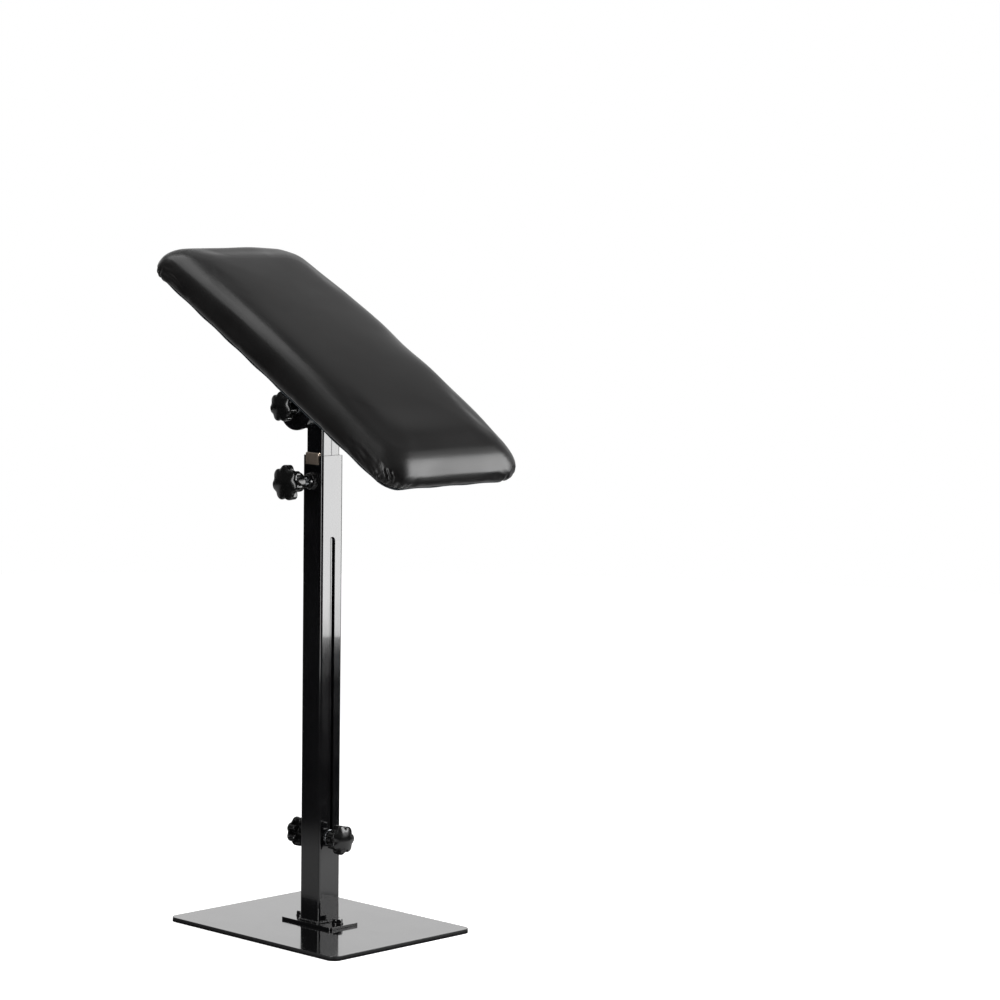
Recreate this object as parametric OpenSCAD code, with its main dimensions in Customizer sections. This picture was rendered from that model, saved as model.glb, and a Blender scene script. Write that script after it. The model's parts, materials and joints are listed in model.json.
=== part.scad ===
// Arm rest stand: a padded rest that tilts on a telescoping square column with a flat base.
// Millimetres. The origin is the centre of the base plate's underside, below the column.
// +Z is up, -Y is the side that the pad slopes down to, and -X is the side of the tilt knob.

/* [Base plate] */
// Width of the base plate, side to side
base_w = 200; // [160:1:300]
// Length of the base plate, front to back
base_l = 260; // [200:1:360]
// Thickness of the base plate
base_t = 5; // [3:0.5:12]
// Radius of the base plate's corners
base_corner_r = 10; // [3:1:30]

/* [Column] */
// Width of the flange welded under the column
flange_w = 41; // [38:1:60]
// Length of the flange, along the line of its bolts
flange_l = 78; // [72:1:110]
// Thickness of the flange
flange_t = 3; // [2:0.5:6]
// Radius of the flange's corners
flange_corner_r = 3; // [1:0.5:8]
// Outside width of the square column tube
tube_w = 30; // [28:0.5:34]
// Wall of the column tube
tube_wall = 1.5; // [1.2:0.1:1.8]
// Outside corner radius of the column tube
tube_corner_r = 2.5; // [2:0.1:4]
// Length of the column tube
tube_len = 498; // [450:1:560]
// Leg of the weld bead round the column's foot
foot_weld_leg = 3; // [2:0.5:4]
// Width of the height slot
slot_w = 8.4; // [8.2:0.1:10]
// Height of the slot's lower end above the column's foot
slot_rise = 86; // [70:1:110]
// Length of the height slot
slot_len = 326; // [200:1:330]

/* [Flange bolts] */
// Distance between the two flange bolts
flange_bolt_spacing = 56; // [54:0.5:62]
// Thread diameter of the flange bolts
flange_bolt_d = 6; // [5:0.5:8]
// Width across flats of the flange bolts' heads
flange_bolt_af = 10; // [8:0.5:13]
// Height of the flange bolts' heads
flange_bolt_head_h = 4; // [3:0.5:6]
// Diameter of the washers under the flange bolts
flange_washer_d = 12.5; // [11:0.5:16]
// Thickness of the washers under the flange bolts
flange_washer_t = 1.4; // [1:0.1:2.5]

/* [Mast] */
// Outside width of the square mast that slides in the column
mast_w = 25; // [24:0.5:25.5]
// Wall of the mast tube
mast_wall = 1.5; // [1.2:0.1:2]
// Outside corner radius of the mast tube
mast_corner_r = 2.2; // [2.1:0.1:3]
// Height of the tilt axis above the column's top, with the mast fully down
hinge_rise = 53; // [48:1:80]
// Length of mast below the lower stud
mast_below_stud = 22; // [15:1:30]
// Length of mast above the tilt axis
mast_above_hinge = 17; // [14:1:20]
// Width of the seam groove along the mast's faces
seam_w = 1.2; // [0.6:0.1:2]
// Depth of the seam groove
seam_depth = 0.4; // [0.2:0.1:0.6]
// Length of the top plug inside the mast
plug_len = 10; // [6:1:16]
// Thickness of the top plug's head
plug_head_t = 1.6; // [1:0.1:3]

/* [Studs and knobs] */
// Thread diameter of the studs and the tilt bolt
stud_d = 8; // [6:0.5:8]
// Width across flats of the tilt bolt's head
tilt_head_af = 13; // [10:0.5:17]
// Height of the tilt bolt's head
tilt_head_h = 5.3; // [4:0.1:8]
// Diameter of the knob washers
knob_washer_d = 17; // [15:0.5:20]
// Thickness of the knob washers
knob_washer_t = 1.6; // [1:0.1:2.5]
// Number of lobes on a knob
knob_lobes = 7; // [5:1:9]
// Diameter of the clamp knob over its lobes
clamp_knob_d = 38; // [34:1:42]
// Height of the clamp knob, hub to dome
clamp_knob_h = 26.5; // [24:0.5:32]
// Diameter of the clamp knob's hub
clamp_hub_d = 21; // [18:0.5:24]
// Height of the clamp knob's hub
clamp_hub_h = 12; // [9:0.5:14]
// Diameter of the smaller knobs over their lobes
small_knob_d = 32; // [28:1:36]
// Height of the smaller knobs, hub to dome
small_knob_h = 23.4; // [21:0.2:26]
// Diameter of the smaller knobs' hubs
small_hub_d = 18; // [16:0.5:20]
// Height of the smaller knobs' hubs
small_hub_h = 9; // [6:0.5:10]
// Diameter of the threaded metal insert in a smaller knob
insert_d = 11.5; // [10:0.5:13]
// Length of the threaded metal insert
insert_len = 12; // [8:0.5:14]

/* [Column clamp] */
// Distance from the column's top down to the clamp screw
clamp_drop = 27; // [22:0.5:34]
// Width across flats of the welded clamp nut
clamp_nut_af = 13; // [12:0.5:16]
// Length of the welded clamp nut
clamp_nut_len = 9; // [7:0.1:14]
// Leg of the weld bead round the clamp nut
nut_weld_leg = 2.2; // [1.5:0.1:3]
// Length of bare stud between the clamp nut and the clamp knob
clamp_stud_show = 8.5; // [4:0.5:10]
// Depth of the clamp stud inside its knob
clamp_stud_grip = 18; // [12:1:22]
// Width of the pressure strip hooked over the column's top
strip_w = 20; // [14:0.5:22]
// Thickness of the pressure strip
strip_t = 0.8; // [0.4:0.1:0.8]
// Length of the strip's outer leg below the column's top
strip_outer_drop = 9.5; // [6:0.5:14]
// Height of the strip's bend above the column's top
strip_rise = 3; // [2.4:0.1:5]
// Length of the strip's inner leg below the clamp screw
strip_below_screw = 12; // [8:0.5:20]

/* [Tilt joint] */
// Diameter of the toothed disc welded to the mast
fixed_disc_d = 46; // [40:1:48]
// Thickness of the toothed disc welded to the mast
fixed_disc_t = 11.5; // [8:0.1:14]
// Diameter of the toothed disc welded to the bracket
moving_disc_d = 48; // [42:1:50]
// Thickness of the toothed disc welded to the bracket
moving_disc_t = 12.2; // [8:0.1:14]
// Chamfer on the discs' edges
disc_chamfer = 2.5; // [1:0.1:4]
// Number of teeth cut in each disc's face
tooth_count = 36; // [24:6:48]
// Depth of the cuts between the teeth
tooth_depth = 1.1; // [0.5:0.1:1.5]
// Length of the teeth, inwards from the rim
tooth_len = 8; // [5:0.5:10]
// Gap between the two toothed faces
disc_gap = 0.3; // [0.2:0.05:0.5]
// Leg of the weld bead round each disc
disc_weld_leg = 2; // [1:0.1:2.5]

/* [Pad bracket] */
// Width of the bracket plate, side to side
plate_w = 62; // [50:1:80]
// Length of the bracket plate, along the pad
plate_l = 116; // [100:1:140]
// Thickness of the bracket's sheet
plate_t = 3.5; // [2.5:0.5:5]
// Radius of the plate's corners
plate_corner_r = 5; // [2:0.5:10]
// Inner radius of the bend between plate and ear
bend_r = 2; // [1:0.5:4]
// Distance from the tilt axis to the pad's underside
hinge_to_pad = 38; // [35:0.5:44]
// Radius of the bracket ear round the tilt bolt
ear_r = 25.5; // [25:0.5:28]
// Distance of the bracket screws from the plate's edges
screw_inset = 8; // [7:0.5:12]
// Thread diameter of the bracket screws
screw_d = 5; // [4:0.5:6]
// Head diameter of the bracket screws
screw_head_d = 9.5; // [8:0.5:11]
// Head height of the bracket screws
screw_head_h = 3.4; // [2.5:0.1:4]
// Length of the bracket screws below their heads
screw_len = 16; // [13:1:18]

/* [Pad] */
// Tilt of the pad from level
pad_tilt = 30; // [0:0.5:60]
// Length of the pad
pad_l = 430; // [340:1:480]
// Width of the pad
pad_w = 192; // [160:1:240]
// Thickness of the pad at its middle
pad_t = 46; // [40:1:60]
// Drop of the pad's arched top from the middle to its lower end
pad_arch = 16; // [0:1:18]
// Drop of the pad's arched top from the middle to its upper end
pad_arch_up = 10; // [0:1:18]
// Radius of the pad's corners, seen from above
pad_corner_r = 26; // [18:1:40]
// Radius of the pad's upper edge
pad_edge_r = 17; // [12:1:22]
// Rise of the crown across the pad's top
pad_crown = 4; // [1:0.5:6]
// Radius of the pad's lower edge
pad_lower_r = 8; // [4:0.5:12]
// Thickness of the leather cover
cover_t = 1.2; // [0.8:0.1:2]
// Width of the cover's hem turned under the board
hem_w = 24; // [14:1:40]
// Thickness of the plywood board
board_t = 12; // [9:1:18]
// Distance of the board's edge inside the pad's edge
board_inset = 9; // [8.5:0.5:14]
// Thickness of the underside lining
lining_t = 0.8; // [0.5:0.1:1.2]
// Distance of the lining's edge inside the pad's edge
lining_inset = 8; // [8:0.5:14]
// Distance between neighbouring staples
staple_pitch = 47; // [30:1:60]
// Distance of the staples inside the lining's edge
staple_inset = 5; // [3:0.5:8]
// Width of a staple's crown
staple_crown = 10; // [6:0.5:12]
// Thickness of the staple wire
staple_wire = 0.9; // [0.6:0.1:1.2]
// Length of a staple's legs
staple_leg = 7; // [5:0.5:9]

/* [Hidden] */
$fn = 64;

// Clearances between pieces
run_gap = 0.05;
slide_gap = 0.1;
bolt_gap = 0.3;
overrun = 1;

// Heights along the column
flange_z = base_t;
tube_z = flange_z + flange_t;
tube_top = tube_z + tube_len;
slot_z = tube_z + slot_rise;
stud_r = stud_d / 2;
slot_end_gap = 0.8;
stud_z = slot_z + slot_w / 2 + slot_end_gap;
hinge_z = tube_top + hinge_rise;
mast_z = stud_z - mast_below_stud;
mast_len = hinge_z + mast_above_hinge - mast_z;
clamp_z = tube_top - clamp_drop;
travel = slot_len - slot_w - 2 * slot_end_gap;

// Places along the tilt axis, out from the mast's side
mast_side = mast_w / 2;
tube_side = tube_w / 2;
fixed_face = mast_side + fixed_disc_t;
moving_face = fixed_face + disc_gap;
ear_in = moving_face + moving_disc_t;
ear_out = ear_in + plate_t;
tilt_washer_x = ear_out + slide_gap;
tilt_knob_x = tilt_washer_x + knob_washer_t;
plate_x = plate_w / 2 - ear_out;
plate_under = hinge_to_pad - plate_t;

// Places along the lower stud and the clamp screw
low_washer_y = tube_side + slide_gap;
low_knob_y = low_washer_y + knob_washer_t;
insert_end = insert_len - overrun;
strip_in = mast_side + slide_gap;
strip_out = strip_in + strip_t;
clamp_nut_end = tube_side + clamp_nut_len;
clamp_knob_x = clamp_nut_end + clamp_stud_show;

// Levels in the pad, up from its underside
board_under = lining_t + cover_t;
board_top = board_under + board_t;
hem_inset = board_inset + hem_w;
pad_drop = max(pad_arch, pad_arch_up);
pad_upper_r = min(pad_edge_r, pad_t - pad_drop - pad_crown - pad_lower_r - lining_t);
pad_corner_points = 8;
pad_side_points = 9;
pad_least_r = 3;
lobe_points = 10;

// Proportions of the bolt heads and welds
head_edge_share = 1.4;
weld_span_share = 1.4;
bolt_end_share = 0.1;

// Proportions of the crown: how far in its last ring lies
crown_in_share = 0.9;

// Proportions of the knobs
valley_share = 0.86;
groove_at_share = 0.74;
groove_r_share = 0.15;
cap_share = 0.16;
rim_high_share = 0.84;
dome_r_share = 0.62;
dome_h_share = 0.96;

// Board nuts
nut_wall = 1;
nut_flange_t = 1.2;
nut_end_gap = 2;
nut_barrel_d = screw_d + 2 * nut_wall;
nut_flange_d = 3 * screw_d;
nut_barrel_len = board_t - nut_flange_t - nut_end_gap;

black = [0.03, 0.03, 0.035];
zinc = [0.78, 0.78, 0.80];

// A rectangle with round corners, centred
module round_rect(w, l, r) {
  square([w - 2 * r, l], center = true);
  square([w, l - 2 * r], center = true);
  for (x = [-1, 1], y = [-1, 1])
    translate([x * (w / 2 - r), y * (l / 2 - r)])
      circle(r);
}

// A square tube standing on the XY plane
module square_tube(w, wall, r, h) {
  difference() {
    linear_extrude(h) round_rect(w, w, r);
    translate([0, 0, -overrun])
      linear_extrude(h + 2 * overrun)
        round_rect(w - 2 * wall, w - 2 * wall, r - wall);
  }
}

// Axis frames: the children's +Z becomes the outward direction
module out_minus_x(z) {
  translate([0, 0, z]) rotate([0, -90, 0]) children();
}
module out_side_y(side, z) {
  translate([0, 0, z]) rotate([-90 * side, 0, 0]) children();
}

// The pad's own frame: origin on the tilt axis, Y up the slope, Z out of the pad's top
module in_head() {
  translate([0, 0, hinge_z]) rotate([pad_tilt, 0, 0]) children();
}
module in_pad() {
  in_head() translate([plate_x, 0, hinge_to_pad]) children();
}

// A washer lying on the XY plane
module washer(d, hole, t) {
  difference() {
    cylinder(h = t, d = d);
    translate([0, 0, -overrun]) cylinder(h = t + 2 * overrun, d = hole);
  }
}

// A hexagon prism standing on the XY plane
module hexagon(af, h) {
  cylinder(h = h, d = af / cos(30), $fn = 6);
}

/* Base */

module base_plate() {
  color(black)
    difference() {
      linear_extrude(base_t) round_rect(base_w, base_l, base_corner_r);
      for (side = [-1, 1])
        translate([0, side * flange_bolt_spacing / 2, -overrun])
          cylinder(h = base_t + 2 * overrun, d = flange_bolt_d + 2 * run_gap);
    }
}

module column_flange() {
  color(black)
    translate([0, 0, flange_z])
      difference() {
        linear_extrude(flange_t) round_rect(flange_w, flange_l, flange_corner_r);
        for (side = [-1, 1])
          translate([0, side * flange_bolt_spacing / 2, -overrun])
            cylinder(h = flange_t + 2 * overrun, d = flange_bolt_d + 2 * bolt_gap);
      }
}

module height_slot() {
  low = slot_z + slot_w / 2;
  high = slot_z + slot_len - slot_w / 2;
  translate([-slot_w / 2, -tube_w, low]) cube([slot_w, 2 * tube_w, high - low]);
  for (z = [low, high])
    translate([0, tube_w, z]) rotate([90, 0, 0]) cylinder(h = 2 * tube_w, d = slot_w);
}

module outer_tube() {
  color(black)
    difference() {
      translate([0, 0, tube_z]) square_tube(tube_w, tube_wall, tube_corner_r, tube_len);
      height_slot();
      out_minus_x(clamp_z) cylinder(h = tube_w, d = stud_d + 2 * bolt_gap);
    }
}

module foot_weld() {
  flat = tube_w - 2 * tube_corner_r;
  color(black)
    translate([0, 0, tube_z])
      for (quarter = [0:3])
        rotate(90 * quarter) {
          translate([flat / 2, -tube_w / 2, 0])
            rotate([0, -90, 0])
              linear_extrude(flat)
                polygon([[0, 0], [0, -foot_weld_leg], [foot_weld_leg, 0]]);
          translate([flat / 2, flat / 2, 0])
            rotate_extrude(angle = 90)
              polygon([[tube_corner_r, 0], [tube_corner_r + foot_weld_leg, 0],
                [tube_corner_r, foot_weld_leg]]);
        }
}

module flange_bolts() {
  seat = flange_z + flange_t + flange_washer_t;
  end_gap = base_t * bolt_end_share;
  color(black)
    for (side = [-1, 1])
      translate([0, side * flange_bolt_spacing / 2, 0]) {
        translate([0, 0, seat])
          intersection() {
            rotate(30) hexagon(flange_bolt_af, flange_bolt_head_h);
            cylinder(h = flange_bolt_head_h, d1 = flange_bolt_af * head_edge_share, d2 = flange_bolt_af);
          }
        translate([0, 0, end_gap]) cylinder(h = seat - end_gap, d = flange_bolt_d);
      }
}

module flange_washers() {
  color(black)
    for (side = [-1, 1])
      translate([0, side * flange_bolt_spacing / 2, flange_z + flange_t])
        washer(flange_washer_d, flange_bolt_d + 2 * bolt_gap, flange_washer_t);
}

/* Column clamp */

module clamp_nut() {
  color(black)
    out_minus_x(clamp_z)
      translate([0, 0, tube_side])
        difference() {
          hexagon(clamp_nut_af, clamp_nut_len);
          translate([0, 0, -overrun])
            cylinder(h = clamp_nut_len + 2 * overrun, d = stud_d + 2 * run_gap);
        }
}

module clamp_nut_weld() {
  corner_r = clamp_nut_af / 2 / cos(30);
  color(black)
    out_minus_x(clamp_z)
      translate([0, 0, tube_side])
        difference() {
          cylinder(h = nut_weld_leg, r1 = corner_r + nut_weld_leg, r2 = corner_r);
          translate([0, 0, -overrun])
            hexagon(clamp_nut_af, nut_weld_leg + 2 * overrun);
        }
}

// A strip hooked over the column's top edge: the screw presses its inner leg on the mast
module pressure_strip() {
  leg_out = tube_side + slide_gap;
  bend_r = (leg_out + strip_t - strip_in) / 2;
  bend_z = tube_top + strip_rise - bend_r;
  low_z = clamp_z - strip_below_screw;
  color([0.72, 0.68, 0.62])
    translate([0, strip_w / 2, 0])
      rotate([90, 0, 0])
        linear_extrude(strip_w) {
          translate([-strip_out, low_z]) square([strip_t, bend_z - low_z]);
          translate([-leg_out - strip_t, tube_top - strip_outer_drop])
            square([strip_t, bend_z - tube_top + strip_outer_drop]);
          translate([-strip_in - bend_r, bend_z])
            difference() {
              circle(bend_r);
              circle(bend_r - strip_t);
              translate([-tube_w, -2 * tube_w]) square(2 * tube_w);
            }
        }
}

module clamp_stud() {
  tip = strip_out + slide_gap;
  color(zinc)
    out_minus_x(clamp_z)
      translate([0, 0, tip])
        cylinder(h = clamp_knob_x + clamp_stud_grip - tip, d = stud_d);
}

/* Knobs */

// Star outline: round lobes and round valleys on one smooth wave
module star(d) {
  r = d / 2;
  points = knob_lobes * lobe_points;
  polygon([for (i = [0:points - 1])
    let(
      turn = 360 * i / points,
      wave = (1 + cos(knob_lobes * turn)) / 2,
      at = r * (valley_share + (1 - valley_share) * wave)
    )
    at * [cos(turn), sin(turn)]]);
}

// A groove with a round bottom that opens outwards
module groove(groove_r, len, h) {
  cylinder(h = h, r = groove_r);
  translate([0, -groove_r, 0]) cube([len, 2 * groove_r, h]);
}

// A star knob standing on its hub: a domed cap with a skirt that grooves part into fingers
module star_knob(d, h, hub_d, hub_h, bore_d, bore_len) {
  r = d / 2;
  hub_r = hub_d / 2;
  edge = r / 8;
  rim_high = h * rim_high_share;
  difference() {
    union() {
      rotate_extrude()
        polygon([[0, 0], [hub_r - edge / 2, 0], [hub_r, edge / 2], [hub_r, hub_h + edge],
          [0, hub_h + edge]]);
      intersection() {
        translate([0, 0, hub_h]) linear_extrude(h - hub_h) star(d);
        rotate_extrude()
          polygon([[0, hub_h - edge], [r - 2 * edge, hub_h - edge], [r + edge, hub_h + 2 * edge],
            [r + edge, rim_high - edge * 3 / 2], [r - edge / 2, rim_high],
            [r * dome_r_share, h * dome_h_share], [r * dome_r_share / 2, h * (1 + dome_h_share) / 2],
            [0, h]]);
      }
    }
    translate([0, 0, -overrun]) cylinder(h = bore_len + overrun, d = bore_d);
    for (i = [1:knob_lobes])
      rotate(360 * (i - 1 / 2) / knob_lobes)
        translate([r * groove_at_share, 0, hub_h - edge - overrun])
          groove(r * groove_r_share, r, rim_high - cap_share * r - hub_h + edge + overrun);
  }
}

module small_knob() {
  star_knob(small_knob_d, small_knob_h, small_hub_d, small_hub_h,
    insert_d, insert_len);
}

module knob_insert() {
  difference() {
    cylinder(h = insert_len, d = insert_d);
    translate([0, 0, -overrun])
      cylinder(h = insert_len + 2 * overrun, d = stud_d + 2 * run_gap);
  }
}

module clamp_knob() {
  color(black)
    out_minus_x(clamp_z)
      translate([0, 0, clamp_knob_x])
        star_knob(clamp_knob_d, clamp_knob_h, clamp_hub_d, clamp_hub_h,
          stud_d + 2 * run_gap, clamp_stud_grip);
}

/* Mast */

module inner_tube() {
  color(black)
    difference() {
      translate([0, 0, mast_z]) square_tube(mast_w, mast_wall, mast_corner_r, mast_len);
      for (side = [-1, 1])
        translate([-seam_w / 2, side * mast_side - seam_depth, mast_z - overrun])
          cube([seam_w, 2 * seam_depth, mast_len + 2 * overrun]);
      translate([0, mast_w, stud_z])
        rotate([90, 0, 0]) cylinder(h = 2 * mast_w, d = stud_d + 2 * run_gap);
      translate([-mast_w, 0, hinge_z])
        rotate([0, 90, 0]) cylinder(h = 2 * mast_w, d = stud_d + 2 * run_gap);
    }
}

module mast_top_plug() {
  inner = mast_w - 2 * mast_wall - 2 * slide_gap;
  head_r = mast_corner_r;
  top = mast_z + mast_len;
  color(black) {
    translate([0, 0, top])
      linear_extrude(plug_head_t) round_rect(mast_w, mast_w, head_r);
    translate([0, 0, top - plug_len])
      square_tube(inner, mast_wall, mast_corner_r - slide_gap, plug_len);
  }
}

// Cuts between the teeth, in the plane z = 0, for a disc of diameter d
module tooth_cuts(d) {
  top = tooth_depth + overrun;
  for (i = [0:tooth_count - 1])
    rotate(i * 360 / tooth_count)
      translate([d / 2 - tooth_len, 0, 0])
        rotate([90, 0, 90])
          linear_extrude(tooth_len + overrun)
            polygon([[0, -tooth_depth], [top, overrun], [-top, overrun]]);
}

// A disc standing on the XY plane, chamfered on its far edge
module disc(d, t) {
  rotate_extrude()
    polygon([[stud_r + run_gap, 0], [d / 2 - disc_chamfer, 0], [d / 2, disc_chamfer],
      [d / 2, t], [stud_r + run_gap, t]]);
}

module fixed_disc() {
  color(black)
    out_minus_x(hinge_z)
      difference() {
        translate([0, 0, mast_side]) disc(fixed_disc_d, fixed_disc_t);
        translate([0, 0, fixed_face]) tooth_cuts(fixed_disc_d);
      }
}

// Two short beads in the corners between the disc's back and the mast's rounded edges
module fixed_disc_weld() {
  span = mast_above_hinge * weld_span_share;
  edge = mast_side - mast_corner_r;
  color(black)
    translate([0, 0, hinge_z - span / 2])
      difference() {
        linear_extrude(span)
          for (side = [-1, 1])
            polygon([[-mast_side, side * edge], [-mast_side, side * (mast_side + disc_weld_leg)],
              [-edge + disc_weld_leg, side * mast_side], [-edge, side * edge]]);
        translate([0, 0, -overrun])
          linear_extrude(span + 2 * overrun) round_rect(mast_w, mast_w, mast_corner_r);
      }
}

module tilt_bolt() {
  end = tilt_knob_x + insert_end;
  color(zinc)
    out_minus_x(hinge_z) {
      translate([0, 0, -mast_side - tilt_head_h]) hexagon(tilt_head_af, tilt_head_h);
      translate([0, 0, -mast_side]) cylinder(h = mast_side + end, d = stud_d);
    }
}

module lower_stud() {
  end = low_knob_y + insert_end;
  color(zinc)
    translate([0, end, stud_z]) rotate([90, 0, 0]) cylinder(h = 2 * end, d = stud_d);
}

module side_washer(side) {
  out_side_y(side, stud_z)
    translate([0, 0, low_washer_y])
      washer(knob_washer_d, stud_d + 2 * run_gap, knob_washer_t);
}

module front_washer() {
  color(zinc) side_washer(-1);
}

module front_knob() {
  color(black) out_side_y(-1, stud_z) translate([0, 0, low_knob_y]) small_knob();
}

module front_knob_insert() {
  color(zinc) out_side_y(-1, stud_z) translate([0, 0, low_knob_y]) knob_insert();
}

module rear_washer() {
  color(zinc) side_washer(1);
}

module rear_knob() {
  color(black) out_side_y(1, stud_z) translate([0, 0, low_knob_y]) small_knob();
}

module rear_knob_insert() {
  color(zinc) out_side_y(1, stud_z) translate([0, 0, low_knob_y]) knob_insert();
}

/* Tilting head */

function screw_places() =
  [for (x = [-1, 1], y = [-1, 1]) [x * (plate_w / 2 - screw_inset), y * (plate_l / 2 - screw_inset)]];

// What a round of radius r leaves of a square corner at x and z, run along the ear's width
module bend_corner(x, z, r) {
  translate([x, ear_r, z])
    rotate([90, 0, 0])
      linear_extrude(2 * ear_r)
        mirror([0, 1])
          difference() {
            translate([-overrun, -overrun]) square(r + overrun);
            translate([r, r]) circle(r);
          }
}

// One bent sheet: a plate under the pad and a round ear beside the mast
module pad_bracket() {
  color(black)
    in_head()
      difference() {
        union() {
          bend_corner(-ear_in, plate_under, bend_r);
          translate([plate_x, 0, plate_under])
            linear_extrude(plate_t) round_rect(plate_w, plate_l, plate_corner_r);
          translate([-ear_in, 0, 0])
            rotate([0, -90, 0])
              linear_extrude(plate_t) {
                circle(ear_r);
                translate([0, -ear_r]) square([hinge_to_pad, 2 * ear_r]);
              }
        }
        bend_corner(-ear_out, hinge_to_pad, bend_r + plate_t);
        rotate([0, -90, 0]) cylinder(h = 2 * ear_out, d = stud_d + 2 * run_gap);
        translate([plate_x, 0, 0])
          for (p = screw_places())
            translate([p[0], p[1], 0]) cylinder(h = 2 * hinge_to_pad, d = screw_d + 2 * bolt_gap);
      }
}

module moving_disc() {
  color(black)
    in_head()
      rotate([0, -90, 0])
        difference() {
          translate([0, 0, ear_in]) mirror([0, 0, 1]) disc(moving_disc_d, moving_disc_t);
          translate([0, 0, moving_face]) mirror([0, 0, 1]) tooth_cuts(moving_disc_d);
        }
}

// A bead in the corner between the disc's chamfer and the ear
module moving_disc_weld() {
  r = moving_disc_d / 2;
  color(black)
    in_head()
      rotate([0, -90, 0])
        translate([0, 0, ear_in])
          rotate_extrude()
            polygon([[r - disc_chamfer, 0], [r, 0], [r, -disc_chamfer]]);
}

module bracket_screws() {
  dome_r = (screw_head_d * screw_head_d / 4 + screw_head_h * screw_head_h) / (2 * screw_head_h);
  recess = screw_head_d / 8;
  color(zinc)
    in_head()
      translate([plate_x, 0, plate_under])
        for (p = screw_places())
          translate([p[0], p[1], 0]) {
            cylinder(h = screw_len, d = screw_d);
            difference() {
              intersection() {
                translate([0, 0, dome_r - screw_head_h]) sphere(dome_r);
                translate([0, 0, -screw_head_h]) cylinder(h = screw_head_h, d = screw_head_d);
              }
              for (turn = [0, 90])
                rotate(turn)
                  translate([-screw_head_d / 4, -recess / 2, -screw_head_h - overrun])
                    cube([screw_head_d / 2, recess, overrun + screw_head_h / 2]);
            }
          }
}

// Flanged nuts pressed into the board from above
module board_nuts() {
  color(zinc)
    in_pad()
      for (p = screw_places())
        translate([p[0], p[1], board_top - nut_flange_t])
          difference() {
            union() {
              cylinder(h = nut_flange_t, d = nut_flange_d);
              translate([0, 0, -nut_barrel_len])
                cylinder(h = nut_barrel_len + nut_flange_t, d = nut_barrel_d);
            }
            translate([0, 0, -nut_barrel_len - overrun])
              cylinder(h = nut_barrel_len + nut_flange_t + 2 * overrun, d = screw_d + 2 * run_gap);
          }
}

module pad_board() {
  inset = 2 * board_inset;
  color([0.72, 0.58, 0.40])
    in_pad()
      difference() {
        translate([0, 0, board_under])
          linear_extrude(board_t)
            round_rect(pad_w - inset, pad_l - inset, pad_corner_r - board_inset);
        for (p = screw_places())
          translate([p[0], p[1], 0]) {
            cylinder(h = 2 * board_top, d = nut_barrel_d + 2 * run_gap);
            translate([0, 0, board_top - nut_flange_t])
              cylinder(h = board_top, d = nut_flange_d + 2 * run_gap);
          }
      }
}

// Half of the pad's outline, inset all round, from its upper end's middle to its lower end's
function pad_half_ring(inset) =
  let(
    r = max(pad_corner_r - inset, pad_least_r),
    x = pad_w / 2 - inset - r,
    y = pad_l / 2 - inset - r,
    steps = pad_corner_points - 1
  )
  concat(
    [for (i = [0:steps]) let(turn = 90 * i / steps) [x + r * sin(turn), y + r * cos(turn)]],
    [for (i = [1:pad_side_points]) [x + r, y * (1 - 2 * i / (pad_side_points + 1))]],
    [for (i = [0:steps]) let(turn = 90 * i / steps) [x + r * cos(turn), -y - r * sin(turn)]]);

// The whole outline at one height; the arch share says how far it follows the arched top
function pad_ring(inset, z, arch_share) =
  let(half = pad_half_ring(inset), last = len(half) - 1)
  [for (side = [1, -1], i = [0:last])
    let(
      p = half[side > 0 ? i : last - i],
      drop = p[1] > 0 ? pad_arch_up : pad_arch
    )
    [side * p[0], p[1], z - arch_share * drop * pow(2 * p[1] / pad_l, 2)]];

// Profile of the pad as [inset, height, arch share]: round lower edge, side, upper edge, crown
function pad_profile(skin) =
  let(
    low = pad_lower_r - skin,
    top = pad_upper_r - skin,
    base = lining_t + skin,
    rim = pad_t - pad_crown - skin,
    in = pad_w / 2 - pad_upper_r - cover_t
  )
  concat(
    [for (a = [0:30:90]) [skin + low * (1 - sin(a)), base + low * (1 - cos(a)), 0]],
    [for (a = [0:15:75]) [skin + top * (1 - cos(a)), rim - top * (1 - sin(a)), 1]],
    [for (s = [0:0.25:1])
      [skin + top + in * s * s * crown_in_share, rim + pad_crown * (1 - pow(1 - s, 2)), 1]]);

// The pad's outer form, or the form inside a skin of the given thickness
module pad_form(skin) {
  profile = pad_profile(skin);
  n = 2 * len(pad_half_ring(0));
  levels = len(profile);
  high = (levels - 1) * n;
  points = [for (p = profile) each pad_ring(p[0], p[1], p[2])];
  polyhedron(
    points = points,
    faces = concat(
      [[for (i = [n - 1:-1:0]) i]],
      [for (i = [0:n / 2 - 2]) [for (k = [i, i + 1, n - 2 - i, n - 1 - i]) high + k]],
      [for (j = [0:levels - 2], i = [0:n - 1])
        let(k = (i + 1) % n) [j * n + i, (j + 1) * n + k, (j + 1) * n + i]],
      [for (j = [0:levels - 2], i = [0:n - 1])
        let(k = (i + 1) % n) [j * n + i, j * n + k, (j + 1) * n + k]]));
}

// The space that the board and its nuts take inside the foam
module board_space() {
  inset = 2 * board_inset;
  linear_extrude(board_top)
    round_rect(pad_w - inset, pad_l - inset, pad_corner_r - board_inset);
}

module pad_foam() {
  color([0.82, 0.78, 0.55])
    in_pad()
      difference() {
        pad_form(cover_t);
        board_space();
      }
}

module pad_cover() {
  color(black)
    in_pad()
      difference() {
        pad_form(0);
        pad_form(cover_t);
        linear_extrude(board_top)
          round_rect(pad_w - 2 * hem_inset, pad_l - 2 * hem_inset, pad_corner_r / 2);
      }
}

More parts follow.
